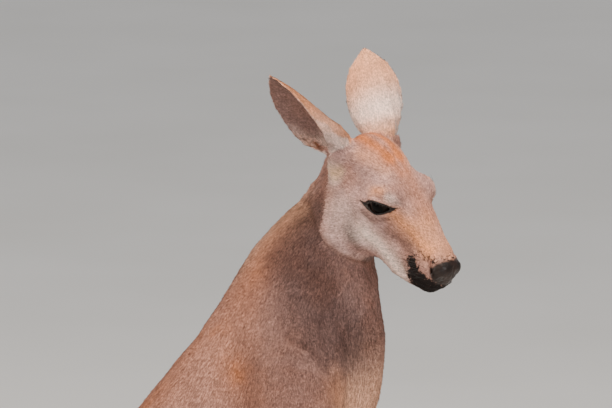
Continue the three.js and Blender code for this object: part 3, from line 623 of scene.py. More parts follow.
# Each stroke has its strength, then a line and its width, or a middle with its radii and softness.
# They are in the head's millimetres, folded onto its left side.
HEAD_STROKES = {
    "pale": {
        "stripe": (1.0, [(4, 41, -48), (28, 34, -52), (50, 28, -58), (66, 22, -66)], 14),
        "jaw": (0.1, [(-30, 62, -78), (-8, 48, -84), (8, 24, -88)], 8),
        "cheek": (0.25, (-36, 48, -46), ((30, 22, 26), 0.7)),
        # painted highlight: a pale streak along the lit ridge of the brow
        "brow": (0.6, [(12, 41, 20), (24, 36, 19), (34, 28, 18)], 6),
        "lower lid": (0.3, [(-12, 47, -15), (4, 47, -17), (14, 43, -13)], 4),
        "ear base": (0.6, (-72, 52, -10), ((12, 14, 17), 0.6)),
    },
    "warm": {"ridge": (0.6, [(-6, 0, 34), (24, 0, 24), (44, 0, 16)], 15)},
    "tan": {
        # tan on the bridge of the nose, partly a painted highlight on its lit top
        "bridge": (0.6, [(60, -6, 7), (82, -4, 1), (98, 0, -4)], 18),
        "muzzle side": (0.75, [(24, 30, 0), (37, 26, -5), (50, 24, -6), (64, 22, -10), (84, 20, -12)], 12),
        "above the eye": (0.65, [(-20, 44, 8), (-8, 43, 16), (0, 42, 22)], 6.5),
        "forehead": (0.4, [(-62, 32, 30), (-40, 26, 34), (-22, 22, 34)], 10),
    },
    "orange": {
        "crown": (1.0, [(-88, 10, 34), (-66, 14, 40), (-49, 11, 42), (-36, 8, 40)], 13),
        "crown's end": (0.4, [(-32, 8, 40), (-10, 6, 36)], 7),
    },
    # painted shade: darker fur in the folds and hollows of the face, and under and behind the jaw
    "shade": {
        "tear": (0.6, [(26, 32, -26), (41, 27, -27), (57, 24, -25)], 7.5),
        "fold": (0.65, [(-10, 45, -24), (8, 40, -25), (19, 33, -13)], 5),
        "hollow": (0.85, [(-22, 50, -38), (-18, 48, -52), (-8, 45, -60)], 8),
        "hollow's end": (0.6, [(-8, 45, -60), (2, 38, -72)], 8),
        "under the jaw": (0.8, [(10, 16, -92), (40, 12, -86), (64, 7, -82)], 13),
        "behind the jaw": (0.7, [(-70, 68, -78), (-40, 70, -88), (-8, 52, -98), (8, 24, -102)], 12),
    },
    "buff": {"ear root": (0.5, (-69, 47, -6), ((7, 9, 11), 0.6))},
    "leather": {"nose": (1.0, (110, 0, -26), ((18.5, 27, 17.5), 0.1))},
}
# The same for the body, in metres, folded onto its right side.
# the neck's side, where it is painted in shade and made greyer
NECK_LINE = [(-0.05, -0.42, 1.05), (-0.06, -0.425, 0.99), (-0.07, -0.44, 0.93), (-0.06, -0.47, 0.88)]
NECK_WIDTH = 0.046
CHEST_LINE = [(-0.02, -0.50, 0.81), (-0.01, -0.49, 0.74), (0, -0.45, 0.66), (0, -0.40, 0.56)]
CHEST_PATCH = [(-0.055, -0.48, 0.82), (-0.04, -0.49, 0.77)]
BODY_STROKES = {
    "warm": {
        "nape": (0.7, [(-0.03, -0.39, 1.04), (-0.04, -0.37, 1.0), (-0.05, -0.335, 0.94)], 0.026),
        "shoulder": (0.4, [(-0.06, -0.32, 0.93), (-0.088, -0.33, 0.85), (-0.10, -0.36, 0.80)], 0.03),
        "spot": (0.65, (-0.088, -0.33, 0.848), ((0.03, 0.014, 0.014), 0.6)),
        "back": (0.45, [(-0.03, -0.27, 0.86), (-0.04, -0.17, 0.70), (-0.04, -0.06, 0.56)], 0.07),
    },
    # painted shade: the neck, throat, front and flank darkened, and the fold at the elbow
    "shade": {
        "neck": (0.75, NECK_LINE, NECK_WIDTH),
        "neck's top": (0.5, [(-0.045, -0.41, 1.03), (-0.05, -0.395, 1.0), (-0.05, -0.38, 0.98)], 0.024),
        "throat": (0.35, [(0, -0.46, 1.02), (0, -0.49, 0.96), (0, -0.51, 0.90)], 0.05),
        "front": (0.1, [(-0.08, -0.45, 0.91), (-0.055, -0.475, 0.90), (-0.045, -0.487, 0.87)], 0.03),
        "side of the neck": (0.3, [(-0.09, -0.41, 0.93), (-0.10, -0.42, 0.89), (-0.11, -0.43, 0.85)], 0.04),
        "elbow": (0.55, [(-0.10, -0.352, 0.845), (-0.10, -0.346, 0.80)], 0.014),
        "flank": (0.25, [(-0.08, -0.38, 0.96), (-0.11, -0.38, 0.90), (-0.115, -0.385, 0.82)], 0.06),
    },
    "pale": {
        "chest": (0.25, CHEST_LINE, 0.048),
        "chest patch": (0.15, CHEST_PATCH, 0.026),
        "belly": (0.9, [(0, -0.34, 0.48), (0, -0.25, 0.43), (0, -0.14, 0.40)], 0.085),
        # painted light: a pale rim along the back's edge, as if lit from behind
        "painted rim light on the back's edge": (0.06, [(-0.05, -0.32, 0.87), (-0.08, -0.27, 0.80), (-0.09, -0.18, 0.68)], 0.05),
    },
    "tan": {
        "chest": (0.9, CHEST_LINE, 0.048),
        "chest patch": (0.7, CHEST_PATCH, 0.026),
        # painted light: tan along the lit front edge of the upper arm
        "painted light on the arm's edge": (0.7, [(-0.096, -0.469, 0.842), (-0.09, -0.475, 0.80)], 0.018),
    },
    "buff": {"nape": (0.18, [(0, -0.39, 1.04), (0, -0.34, 0.97)], 0.03)},
}
NOT_FOLDED = ("bridge", "chest", "chest patch")  # strokes that lie where they are written, on one side
# painted shade along the creases in front of the shoulder: how dark and how wide, and the darkest painted
# shade on the body
CREASE_SHADE = 0.85
CREASE_WIDTH = 0.007
MOST_BODY_SHADE = 0.85


def stroke(points, place, size):
    """The mask of one stroke: a line with a width, or a middle with its radii and softness."""
    return blob(points, place, *size) if isinstance(size, tuple) else along_path(points, place, size)


def painted(points, folded, strokes):
    """The strokes of one colour, added up."""
    total = np.zeros(len(points))
    for name, (strength, place, size) in strokes.items():
        total += strength * stroke(points if name in NOT_FOLDED else folded, place, size)
    return total


def mouth_dark(points, folded):
    """The dark lips and chin, with spots on the muzzle's side and a ring over the nose."""
    x, _, z = points.T
    before = x - np.interp(z, [-72, -53, -37, -28], [82, 73, 65, 66])
    below = np.interp(x, [67, 77, 88, 93, 114], [-28, -30, -35, -37, -39]) - z
    spots = along_path(folded, [(72, 23, -21), (82, 22, -20), (91, 21, -17)], 6)
    above_nose = blob(points, (107, 0, -22), (19, 27, 18.5), 0.2)
    lips = ease(0.5 + before / 20) * ease(0.5 + below / 13)
    return lips + 0.5 * spots + 0.4 * above_nose


def bare_lids(points):
    """The bare dark skin round the eyes, drawn out to a crease behind each."""
    lid = np.zeros(len(points))
    for side in SIDES.values():
        along, across, out = slit_places(points, side)
        lens = np.clip(1 - np.abs(along / SLIT_REACH) ** 1.7, 0, 1) ** 1.2
        half_height = np.where(across > 0, 9.6, 10.2) * lens
        rim = np.maximum(half_height, slit_height(along, across, 1.2))
        off_crease = np.abs(across + 0.45 * (along + 22))
        crease = ease((-20 - along) / 3) * ease((31 + along) / 3) * ease(2.1 - off_crease)
        shape = np.maximum(ease(0.5 + (rim - np.abs(across)) / 0.9), crease)
        lid = np.maximum(lid, shape * (out > -8) * (np.hypot(along, across) < 33))
    return lid


def head_markings_and_painted_light(points):
    """Masks from 0 to 1 for the head, in its own millimetres."""
    folded = both_sides(points)
    marks = {name: painted(points, folded, strokes) for name, strokes in HEAD_STROKES.items()}
    marks.update(dark=mouth_dark(points, folded), lid=bare_lids(points), grey=0.8 * np.ones(len(points)))
    return {name: np.clip(values, 0, 1) for name, values in marks.items()}


def body_markings_and_painted_light(points):
    """Masks from 0 to 1 for the body, in metres."""
    folded = onto_right(points)
    zero = np.zeros(len(points))
    marks = dict(leather=zero, lid=zero, orange=zero, dark=zero)
    marks.update({name: painted(points, folded, strokes) for name, strokes in BODY_STROKES.items()})
    # painted shade laid along the two deepest creases
    creased = sum(along_path(folded, path, CREASE_WIDTH) for path, _, _ in BODY_CREASES[:2])
    marks["shade"] = np.minimum(marks["shade"] + CREASE_SHADE * creased, MOST_BODY_SHADE)
    neck = along_path(folded, NECK_LINE, NECK_WIDTH)
    marks["grey"] = 0.25 + 0.7 * neck + 0.15 * ease((points[:, 2] - 0.6) / 0.3)
    return {name: np.clip(values, 0, 1) for name, values in marks.items()}


# the right ear's back is painted browner and darker than the left's, as shade
EAR_TONES_WITH_PAINTED_SHADE = {  # on the back of each ear, and how pale the low end of its rim is
    "right": dict(back_pale=0.2, orange=0.0, warm=0.7, tan=0.5, low_end=1.0),
    "left": dict(back_pale=1.0, orange=1.0, warm=0.1, tan=0.9, low_end=0.0),
}


def ear_markings_and_painted_shade(points, normals, side):
    """Masks for one ear: tan behind, greyish in its hollow with painted shade deeper in, and a pale rim."""
    tone = EAR_TONES_WITH_PAINTED_SHADE[side]
    root, tip = ear_root_and_tip(side)
    up = np.clip((points - root) @ (tip - root) / ((tip - root) @ (tip - root)), 0, 1)
    facing = normals @ ear_opening(side)
    inside = ease(0.5 + 1.6 * facing)
    back = 1 - inside
    rim = hump(facing, 0.3)
    low_pale = hump(up - 0.34, 0.2)
    head = to_head(points)
    inner_side = ease((50 - np.abs(head[:, 1])) / 14)
    low = ease(1.4 - up / 0.16) * (ease((14 - head[:, 2]) / 12) * tone["low_end"])
    hollow_pale = 0.6 * inside * ease(1 - up / 0.35)
    back_pale = back * (0.12 + 0.7 * low_pale) * tone["back_pale"]
    return dict(
        grey=0.1 + 0.7 * inside,
        pale=np.clip(back_pale + hollow_pale + 0.5 * rim + 0.5 * low, 0, 1),
        orange=back * ease(1.5 - up / 0.16) * inner_side * tone["orange"],
        warm=back * tone["warm"] * (1 - low),
        tan=back * tone["tan"] * (1 - low),
        # painted shade deeper in the hollow, away from the rim
        shade=0.5 * inside * ease(up / 0.3) * (1 - rim),
    )


def markings_and_painted_light(points, normals, parts):
    """Every mask at each point, from its place, the way it faces and the part of the body it is on."""
    on_head = on_parts(parts, "head")
    in_head, on_body = head_markings_and_painted_light(to_head(points)), body_markings_and_painted_light(points)
    marks = {name: np.where(on_head, in_head[name], on_body[name]) for name in in_head}
    for side in SIDES:
        ear_marks = ear_markings_and_painted_shade(points, normals, side)
        on_ear = parts == FLESH.index(f"{side}_ear")
        for name in marks:
            marks[name] = np.where(on_ear, ear_marks.get(name, 0), marks[name])
    wrist = ease((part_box("right_hand")[1].z + 0.02 - points[:, 2]) / 0.06)
    toes = ease((-0.28 - points[:, 1]) / 0.12)
    marks["dark"] = np.where(on_parts(parts, "hand"), 0.85 * wrist, marks["dark"])
    marks["dark"] = np.where(on_parts(parts, "foot"), 0.7 * toes, marks["dark"])
    tail_pale = 0.5 * ease((points[:, 1] - 0.06) / 0.45)
    marks["pale"] = np.where(on_parts(parts, "forearm"), 0.3, marks["pale"])
    marks["pale"] = np.where(on_parts(parts, *TAIL), tail_pale, marks["pale"])
    soles = (points[:, 2] < 3 * MM) & (normals[:, 2] < -0.5)
    marks["leather"] = np.where(soles & ~on_head, 1, marks["leather"])
    return marks


MARKS = ("warm", "orange", "tan", "buff", "pale", "grey", "shade", "dark")


# ---------------------------------------------------------------- the lie of the coat
def spine_path():
    """Through the middles of the neck, trunk and tail, from the nape to the tip."""
    low, high = box_corners("tail_end")
    nape = from_head((-95, 0, 10))
    withers = (box_middle("neck") + box_middle("trunk")) / 2
    tip = np.array([box_middle("tail_end")[0], high[1], low[2]])
    middles = [box_middle(name) for name in TAIL]
    return np.array([nape, box_middle("neck"), withers, box_middle("trunk"), *middles, tip])


def lie_along(points, path):
    """The way a path runs beside each point, turning evenly from one stretch to the next."""
    steps = unit(np.diff(path, axis=0))
    stretch_middles = (path[1:] + path[:-1]) / 2
    far = np.linalg.norm(points[:, None] - stretch_middles[None], axis=2)
    weights = 1 / (far**3 + 1e-4)
    return unit((weights[:, :, None] * steps[None]).sum(1))


def limb_lies():
    """The way the hair runs on each paired part."""
    lies = {}
    for side in SIDES:
        middle = {part: box_middle(f"{side}_{part}") for part in PAIRED_PARTS}
        low, high = box_corners(f"{side}_shin")
        root, tip = ear_root_and_tip(side)
        lies[f"{side}_ear"] = tip - root
        lies[f"{side}_upper_arm"] = middle["forearm"] - middle["upper_arm"] + [0, 0.05, 0]
        lies[f"{side}_forearm"] = middle["hand"] - middle["forearm"]
        lies[f"{side}_hand"] = middle["hand"] - middle["forearm"]
        lies[f"{side}_thigh"] = np.array([0, -0.25, -1])
        lies[f"{side}_shin"] = np.array([0, high[1] - low[1], low[2] - high[2]])
        lies[f"{side}_foot"] = np.array([0, -1, -0.15])
    return lies


def coat_lie(points, normals, parts, web):
    """A unit vector along the skin at each point: nose to tail, and down each limb."""
    lie = lie_along(points, spine_path())
    for name, way in limb_lies().items():
        lie[parts == FLESH.index(name)] = unit(way)
    head = to_head(points)
    on_head = on_parts(parts, "head")
    down = 0.75 * ease((-head[:, 2] - 5) / 60) * ease((70 - head[:, 0]) / 70)
    out = 0.35 * np.sign(head[:, 1]) * ease((40 - head[:, 0]) / 60)
    way = np.stack([-np.ones(len(head)), out, -down], 1)
    lie[on_head] = unit(way @ HEAD_AXES)[on_head]
    lie -= normals * (lie * normals).sum(1)[:, None]
    for _ in range(3):
        lie = web.spread(lie, 8)
        lie -= normals * (lie * normals).sum(1)[:, None]
    return unit(lie)


# ---------------------------------------------------------------- the coat: thin overlapping tufts
# Length, width and spacing in millimetres, and the angle at which a tuft leaves the skin, by part.
TUFT_LENGTH = dict(head=6.0, neck=8.5, trunk=13, tail_upper=12, tail_middle=10, tail_end=9, ear=4.6,
                   upper_arm=10, forearm=8, hand=4.6, thigh=13, shin=8.5, foot=6)
TUFT_WIDTH = dict(head=0.75, neck=0.85, trunk=1.4, tail_upper=1.7, tail_middle=1.5, tail_end=1.4, ear=0.65,
                  upper_arm=1.2, forearm=1.15, hand=0.9, thigh=1.75, shin=1.4, foot=1.15)
TUFT_SPACING = dict(head=0.98, neck=1.03, trunk=2.3, tail_upper=2.95, tail_middle=2.5, tail_end=2.4, ear=1.14,
                    upper_arm=2.0, forearm=1.95, hand=1.65, thigh=3.0, shin=2.5, foot=2.25)
TUFT_LIFT = dict(head=13, neck=12, trunk=13, tail_upper=12, tail_middle=12, tail_end=12, ear=11, upper_arm=12,
                 forearm=12, hand=11, thigh=13, shin=12, foot=11)
TUFT_LIMIT = 49500  # tufts in one piece of the coat, four faces each
TUFT_PATCH = 0.003  # the size of a tuft's place on the coat's map
TUFT_ROOT_DEPTH = 0.5 * MM
TUFT_BEND = 0.42  # where a tuft is broadest, as a share of its length
COAT_SEED = 100

# How the trunk is shared out among its pieces of coat.
SHOULDER_SHARE = 0.66  # the shoulders begin at this share of its height
FRONT_LINE = (0.36, 0.6, 0.85), (-0.24, -0.30, -0.36)  # heights, and where the back ends and the belly begins

COAT_PIECES = {
    "coat_head_right": ["head"],
    "coat_head_left": ["head"],
    "coat_ears": ["right_ear", "left_ear"],
    "coat_neck": ["neck"],
    "coat_right_shoulder": ["trunk"],
    "coat_left_shoulder": ["trunk"],
    "coat_back": ["trunk"],
    "coat_belly": ["trunk"],
    "coat_arms": [f"{side}_{part}" for side in SIDES for part in ("upper_arm", "forearm", "hand")],
    "coat_right_leg": ["right_thigh", "right_shin", "right_foot"],
    "coat_left_leg": ["left_thigh", "left_shin", "left_foot"],
    "coat_tail": TAIL,
}


class Skin:
    """The finished skin as arrays: its form, the part each point is on, and how its hair lies and grows."""

    def __init__(self, mesh, web, parts):
        self.mesh, self.web, self.parts = mesh, web, parts
        self.points, self.normals = points_of(mesh), normals_of(mesh)
        self.triangles = triangles_of(mesh)
        plain = ~on_parts(parts, "head", "ear")
        marks = markings_and_painted_light(self.points, self.normals, parts)
        soft = {name: web.spread(values, 4) for name, values in marks.items()}
        self.marks = {name: np.where(plain, soft[name], marks[name]) for name in marks}
        self.lie = coat_lie(self.points, self.normals, parts, web)
        tables = dict(length=TUFT_LENGTH, width=TUFT_WIDTH, spacing=TUFT_SPACING, lift=TUFT_LIFT)
        self.growth = {name: web.spread(by_part(table, parts), 8) for name, table in tables.items()}
        head = both_sides(to_head(self.points))
        muzzle = blob(head, (95, 0, -30), (55, 45, 50), 0.5)
        by_eye = blob(head, (0, EYE_OUT + 10, 0), (26, 20, 18), 0.5)
        face = np.maximum(muzzle, by_eye)
        self.change(face, length=-0.5, width=-0.2)
        self.change(by_eye, length=-0.3)
        ear_base = blob(head, (-80, 50, 6), (18, 16, 28), 0.5) * ~plain
        self.change(ear_base, length=0.6, lift=0.3)
        fine = ease((self.points[:, 2] - 0.64) / 0.2) * on_parts(parts, "trunk", "upper_arm")
        self.change(fine, length=-0.36, width=-0.38, spacing=-0.4)
        self.change(np.clip(swirl(web, 14, 3), -1, 1), lift=0.4)
        self.growth["turn"] = math.radians(8) * swirl(web, 11, 60) + math.radians(5) * swirl(web, 12, 12)
        bare = np.maximum(self.marks["leather"], self.marks["lid"])
        self.growth["bare"] = np.where(bare > 0.25, 1.0, 0.0)

    def change(self, where, **shares):
        """The tufts grow longer, wider, further apart or steeper by these shares where the mask is 1."""
        for name, share in shares.items():
            self.growth[name] = self.growth[name] * (1 + share * where)

    def faces_of(self, piece):
        """Numbers of the faces that carry one piece of the coat."""
        owner = self.parts[self.triangles[:, 0]]
        middle = self.points[self.triangles].mean(1)
        chosen = np.isin(owner, [FLESH.index(name) for name in COAT_PIECES[piece]])
        if piece.startswith("coat_head"):
            left = to_head(middle)[:, 1] > 0
            chosen &= left if piece.endswith("left") else ~left
        low, high = box_corners("trunk")
        shoulder = middle[:, 2] > low[2] + SHOULDER_SHARE * (high[2] - low[2])
        front = middle[:, 1] < np.interp(middle[:, 2], *FRONT_LINE)
        left_side = middle[:, 0] > 0
        split = {"coat_right_shoulder": shoulder & ~left_side, "coat_left_shoulder": shoulder & left_side,
                 "coat_back": ~shoulder & ~front, "coat_belly": ~shoulder & front}
        if piece in split:
            chosen &= split[piece]
        return np.nonzero(chosen)[0]

    def mixed(self, values, faces, share):
        """Values at places inside faces, from their three corners."""
        corners = values[self.triangles[faces]]
        return (corners * share.reshape(share.shape + (1,) * (corners.ndim - 2))).sum(1)


def map_of_faces(skin, faces):
    """An unwrap of these faces of the skin: the place of each face's corners on a unit square."""
    used, numbers = np.unique(skin.triangles[faces], return_inverse=True)
    mesh = mesh_of_triangles("unwrap", skin.points[used], numbers.reshape(-1, 3))
    mesh.uv_layers.new(name="map")
    draft = new_object("unwrap", mesh)
    bpy.context.view_layer.objects.active = draft
    bpy.ops.object.select_all(action="DESELECT")
    draft.select_set(True)
    bpy.ops.object.mode_set(mode="EDIT")
    bpy.ops.mesh.select_all(action="SELECT")
    bpy.ops.uv.smart_project(angle_limit=math.radians(66), island_margin=0.002, scale_to_bounds=True)
    bpy.ops.object.mode_set(mode="OBJECT")
    flat = np.empty(len(faces) * 6)
    mesh.uv_layers["map"].data.foreach_get("uv", flat)
    bpy.data.objects.remove(draft)
    bpy.data.meshes.remove(mesh)
    return flat.reshape(-1, 3, 2)


def scattered(skin, faces, random):
    """Even random places on the faces: the face and the shares of its corners for each tuft."""
    corners = skin.points[skin.triangles[faces]]
    area = np.linalg.norm(np.cross(corners[:, 1] - corners[:, 0], corners[:, 2] - corners[:, 0]), axis=1) / 2
    thirds = np.full((len(faces), 3), 1 / 3)
    spacing = skin.mixed(skin.growth["spacing"], faces, thirds) * MM
    covered = 1 - skin.mixed(skin.growth["bare"], faces, thirds)
    wanted = area / spacing**2 * covered
    wanted *= min(1, TUFT_LIMIT / wanted.sum())
    steps = np.floor(np.cumsum(wanted) + random.random())
    number = np.diff(steps, prepend=0).astype(int)
    chosen = np.repeat(np.arange(len(faces)), number)
    first, second = np.sqrt(random.random(len(chosen))), random.random(len(chosen))
    share = np.stack([1 - first, first * (1 - second), first * second], 1)
    return chosen, share


def tuft_points(skin, faces, share, random):
    """Four corners of each tuft: the root, the two edges of its broad middle, and the tip."""
    root = skin.mixed(skin.points, faces, share)
    normal = unit(skin.mixed(skin.normals, faces, share))
    lie = skin.mixed(skin.lie, faces, share)
    lie = unit(lie - normal * (lie * normal).sum(1)[:, None])
    across = np.cross(normal, lie)
    turn = skin.mixed(skin.growth["turn"], faces, share) + random.normal(0, math.radians(8), len(faces))
    lie, across = (lie * np.cos(turn)[:, None] + across * np.sin(turn)[:, None],
                   across * np.cos(turn)[:, None] - lie * np.sin(turn)[:, None])
    count = len(faces)
    length = skin.mixed(skin.growth["length"], faces, share) * random.uniform(0.7, 1.25, count) * MM
    width = skin.mixed(skin.growth["width"], faces, share) * random.uniform(0.75, 1.3, count) * MM
    lift = np.radians(skin.mixed(skin.growth["lift"], faces, share)) * random.uniform(0.5, 1.6, count)
    bend = TUFT_BEND * length
    middle = root + lie * (bend * np.cos(lift))[:, None] + normal * (bend * np.sin(lift))[:, None]
    droop = lift * random.uniform(0.35, 0.85, count)
    tip = root + lie * (length * np.cos(droop))[:, None] + normal * (length * np.sin(droop))[:, None]
    half = across * (width / 2)[:, None]
    corners = np.stack([root - normal * TUFT_ROOT_DEPTH, middle - half, middle + half, tip], 1)
    corners[:, :, 2] = np.maximum(corners[:, :, 2], FLOOR_GAP)
    return corners, root, normal


TUFT_FACES = np.array([(0, 1, 2), (2, 1, 3), (0, 3, 1), (0, 2, 3)])
TUFT_REACH = np.array([0, 0.45, 0.45, 1])
TUFT_MAP = np.array([(0, -0.5), (-0.5, 0), (0.5, 0), (0, 0.5)]) * TUFT_PATCH


def make_coat(skin, piece, seed, material):
    """One piece of the coat: a joined mesh of closed tufts, each lit like the skin under it."""
    random = np.random.default_rng(seed)
    piece_faces = skin.faces_of(piece)
    face_map = map_of_faces(skin, piece_faces)
    chosen, share = scattered(skin, piece_faces, random)
    faces = piece_faces[chosen]
    corners, root, normal = tuft_points(skin, faces, share, random)
    count = len(faces)
    triangles = (np.arange(count)[:, None, None] * 4 + TUFT_FACES[None]).reshape(-1, 3)
    mesh = mesh_of_triangles(piece, corners.reshape(-1, 3), triangles)
    marks = {name: skin.mixed(skin.marks[name], faces, share) for name in MARKS}
    lie = unit(corners[:, 3] - root)
    across = unit(corners[:, 2] - corners[:, 1])
    lit = unit(np.stack([normal, normal - 0.3 * across, normal + 0.3 * across, normal + 0.2 * lie], 1))
    mesh.shade_smooth()
    mesh.normals_split_custom_set_from_vertices(lit.reshape(-1, 3))
    strand = random.random(count)
    give_values(mesh, strand=np.repeat(strand, 4), reach=np.tile(TUFT_REACH, count),
                **{name: np.repeat(marks[name], 4) for name in MARKS})
    place = (face_map[chosen] * share[:, :, None]).sum(1)
    place = TUFT_PATCH + place * (1 - 2 * TUFT_PATCH)
    spots = place[:, None] + TUFT_MAP[None]
    layer = mesh.uv_layers.new(name="OFBake")
    layer.data.foreach_set("uv", np.ascontiguousarray(spots[:, TUFT_FACES], np.float32).ravel())
    mesh.materials.append(material)
    coat = new_object(piece, mesh)
    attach(coat, "root")
    return coat


# ---------------------------------------------------------------- materials
class Nodes:
    """Short calls for building a node tree."""

    def __init__(self, tree):
        self.tree = tree

    def add(self, kind, **settings):
        node = self.tree.nodes.new(kind)
        for name, value in settings.items():
            setattr(node, name, value)
        return node

    def put(self, value, socket):
        if hasattr(value, "is_output"):
            self.tree.links.new(value, socket)
        else:
            socket.default_value = value

    def sum(self, operation, *values):
        node = self.add("ShaderNodeMath", operation=operation)
        for value, socket in zip(values, node.inputs):
            self.put(value, socket)
        return node.outputs[0]

    def mix(self, share, one, other, blend="MIX"):
        node = self.add("ShaderNodeMix", data_type="RGBA", blend_type=blend, clamp_factor=True)
        self.put(share, node.inputs["Factor"])
        self.put(one, node.inputs[6])
        self.put(other, node.inputs[7])
        return node.outputs[2]

    def between(self, share, one, other):
        node = self.add("ShaderNodeMix", data_type="FLOAT", clamp_factor=True)
        self.put(share, node.inputs[0])
        self.put(one, node.inputs[2])
        self.put(other, node.inputs[3])
        return node.outputs[0]

    def ramp(self, value, low, high, to_low=0.0, to_high=1.0):
        node = self.add("ShaderNodeMapRange")
        for socket, setting in zip(node.inputs, (value, low, high, to_low, to_high)):
            self.put(setting, socket)
        return node.outputs[0]

    def noise(self, place, scale, detail=3.0, roughness=0.55):
        node = self.add("ShaderNodeTexNoise")
        self.put(place, node.inputs["Vector"])
        for name, value in (("Scale", scale), ("Detail", detail), ("Roughness", roughness)):
            node.inputs[name].default_value = value
        return node.outputs["Fac"]

    def value(self, name):
        return self.add("ShaderNodeAttribute", attribute_name=name).outputs["Fac"]

    def place(self):
        return self.add("ShaderNodeTexCoord").outputs["Object"]

    def group(self, tree, **inputs):
        node = self.add("ShaderNodeGroup", node_tree=tree)
        for name, value in inputs.items():
            self.put(value, node.inputs[name.replace("_", " ").capitalize()])
        return node


def new_group(name, inputs, outputs):
    """A shader node group with named float inputs and typed outputs."""
    tree = bpy.data.node_groups.new(name, "ShaderNodeTree")
    for label, default in inputs.items():
        socket = tree.interface.new_socket(label, in_out="INPUT", socket_type="NodeSocketFloat")
        socket.default_value = default
    for label, kind in outputs.items():
        tree.interface.new_socket(label, in_out="OUTPUT", socket_type=f"NodeSocket{kind}")
    start = tree.nodes.new("NodeGroupInput")
    end = tree.nodes.new("NodeGroupOutput")
    return tree, start.outputs, end.inputs


def colour(red, green, blue):
    """A paint colour from screen values of 0 to 255."""
    screen = np.array([red, green, blue]) / 255
    linear = np.where(screen <= 0.04045, screen / 12.92, ((screen + 0.055) / 1.055) ** 2.4)
    return (*linear.tolist(), 1.0)


FAWN = colour(171, 117, 96)
COAT_COLOURS = {
    "Grey": colour(180, 146, 139),
    "Warm": colour(188, 112, 66),
    "Orange": colour(194, 114, 68),
    "Tan": colour(222, 148, 100),
    # painted shade: the dark colour laid into folds, hollows, creases and the shaded neck
    "Shade": colour(70, 46, 40),
    "Pale": colour(244, 216, 202),
    "Buff": colour(230, 184, 126),
    "Dark": colour(22, 13, 10),
}


def coat_colour_group():
    """The colour of hair from its markings and painted shade, its place along the strand and a chance value
    for each tuft.
    """
    labels = {name: 0.0 for name in COAT_COLOURS}
    inputs = {**labels, "Strand": 0.5, "Reach": 0.5}
    tree, given, result = new_group("coat colour", inputs, {"Color": "Color"})
    n = Nodes(tree)
    place = n.place()
    patches = n.noise(place, 14.0, 3.0)
    mottle = n.noise(place, 90.0, 2.0)
    flecks = n.noise(place, 380.0, 2.0)
    specks = n.noise(place, 240.0, 2.0)
    shade = FAWN
    for name, paint in COAT_COLOURS.items():
        share = given[name]
        if name in ("Warm", "Grey"):
            share = n.sum("MULTIPLY", share, n.ramp(patches, 0.36, 0.62, 0.35, 1.15))
        if name == "Warm":
            share = n.sum("ADD", share, n.ramp(patches, 0.56, 0.74, 0.0, 0.25))
        if name == "Dark":
            share = n.ramp(n.sum("ADD", share, n.ramp(specks, 0.3, 0.7, -0.4, 0.4)), 0.3, 0.7)
        shade = n.mix(share, shade, paint)
    by_strand = n.ramp(given["Strand"], 0.0, 1.0, 0.6, 1.34)
    # painted shade along the strand: darker at the root, deep in the coat, and lighter at the tip
    by_reach = n.ramp(given["Reach"], 0.0, 1.0, -0.12, 0.1)
    lightness = n.sum("ADD", by_strand, by_reach)
    lightness = n.sum("MULTIPLY", lightness, n.ramp(flecks, 0.3, 0.7, 0.72, 1.28))
    lightness = n.sum("MULTIPLY", lightness, n.ramp(mottle, 0.3, 0.7, 0.9, 1.1))
    tint = n.add("ShaderNodeCombineColor")
    for socket in tint.inputs:
        n.put(lightness, socket)
    n.put(n.mix(1.0, shade, tint.outputs[0], "MULTIPLY"), result["Color"])
    return tree


def leather_group():
    """Bare moist hide: how rough it is and its fine pebbling."""
    outputs = {"Height": "Float", "Roughness": "Float"}
    tree, given, result = new_group("bare hide", {"Scale": 420.0}, outputs)
    n = Nodes(tree)
    place = n.place()
    cells = n.add("ShaderNodeTexVoronoi", feature="SMOOTH_F1")
    n.put(place, cells.inputs["Vector"])
    n.put(given["Scale"], cells.inputs["Scale"])
    n.put(cells.outputs["Distance"], result["Height"])
    n.put(n.ramp(n.noise(place, 260.0), 0.3, 0.7, 0.30, 0.52), result["Roughness"])
    return tree


def new_material(name, **settings):
    """A material with its Principled shader, and the shader's own settings."""
    material = bpy.data.materials.new(name)
    material.use_nodes = True
    shader = material.node_tree.nodes["Principled BSDF"]
    for label, value in settings.items():
        shader.inputs[label.replace("_", " ").title().replace("Ior", "IOR")].default_value = value
    return material, Nodes(material.node_tree), shader.inputs


def bump(n, height, strength, distance):
    node = n.add("ShaderNodeBump")
    n.put(height, node.inputs["Height"])
    node.inputs["Strength"].default_value = strength
    node.inputs["Distance"].default_value = distance
    return node.outputs["Normal"]


def coat_material(coat_colour):
    material, n, shader = new_material("coat of short hair", Roughness=0.7, Specular_IOR_Level=0.2)
    marks = {name: n.value(name) for name in MARKS}
    tinted = n.group(coat_colour, strand=n.value("strand"), reach=n.value("reach"), **marks)
    n.put(tinted.outputs["Color"], shader["Base Color"])
    return material


def skin_material(coat_colour, bare_hide):
    """Hide under the hair, bare and dark on the nose, lids and soles, with a bump of short hair elsewhere."""
    material, n, shader = new_material("furred skin", Specular_IOR_Level=0.25)
    marks = {name: n.value(name) for name in MARKS}
    place = n.place()
    grain = n.noise(place, 700.0, 4.0, 0.7)
    # the hide takes the coat's darker root tone, as painted shade under the hair
    tinted = n.group(coat_colour, strand=n.ramp(grain, 0.3, 0.7), reach=0.15, **marks)
    bare = n.sum("MAXIMUM", n.value("leather"), n.value("lid"))
    hide = n.group(bare_hide, scale=420.0)
    black = n.mix(n.ramp(n.noise(place, 90.0), 0.35, 0.65), colour(20, 11, 7), colour(38, 24, 18))
    n.put(n.mix(bare, tinted.outputs["Color"], black), shader["Base Color"])
    n.put(n.between(bare, 0.8, hide.outputs["Roughness"]), shader["Roughness"])
    height = n.between(bare, grain, hide.outputs["Height"])
    n.put(bump(n, height, 0.6, 0.6 * MM), shader["Normal"])
    return material


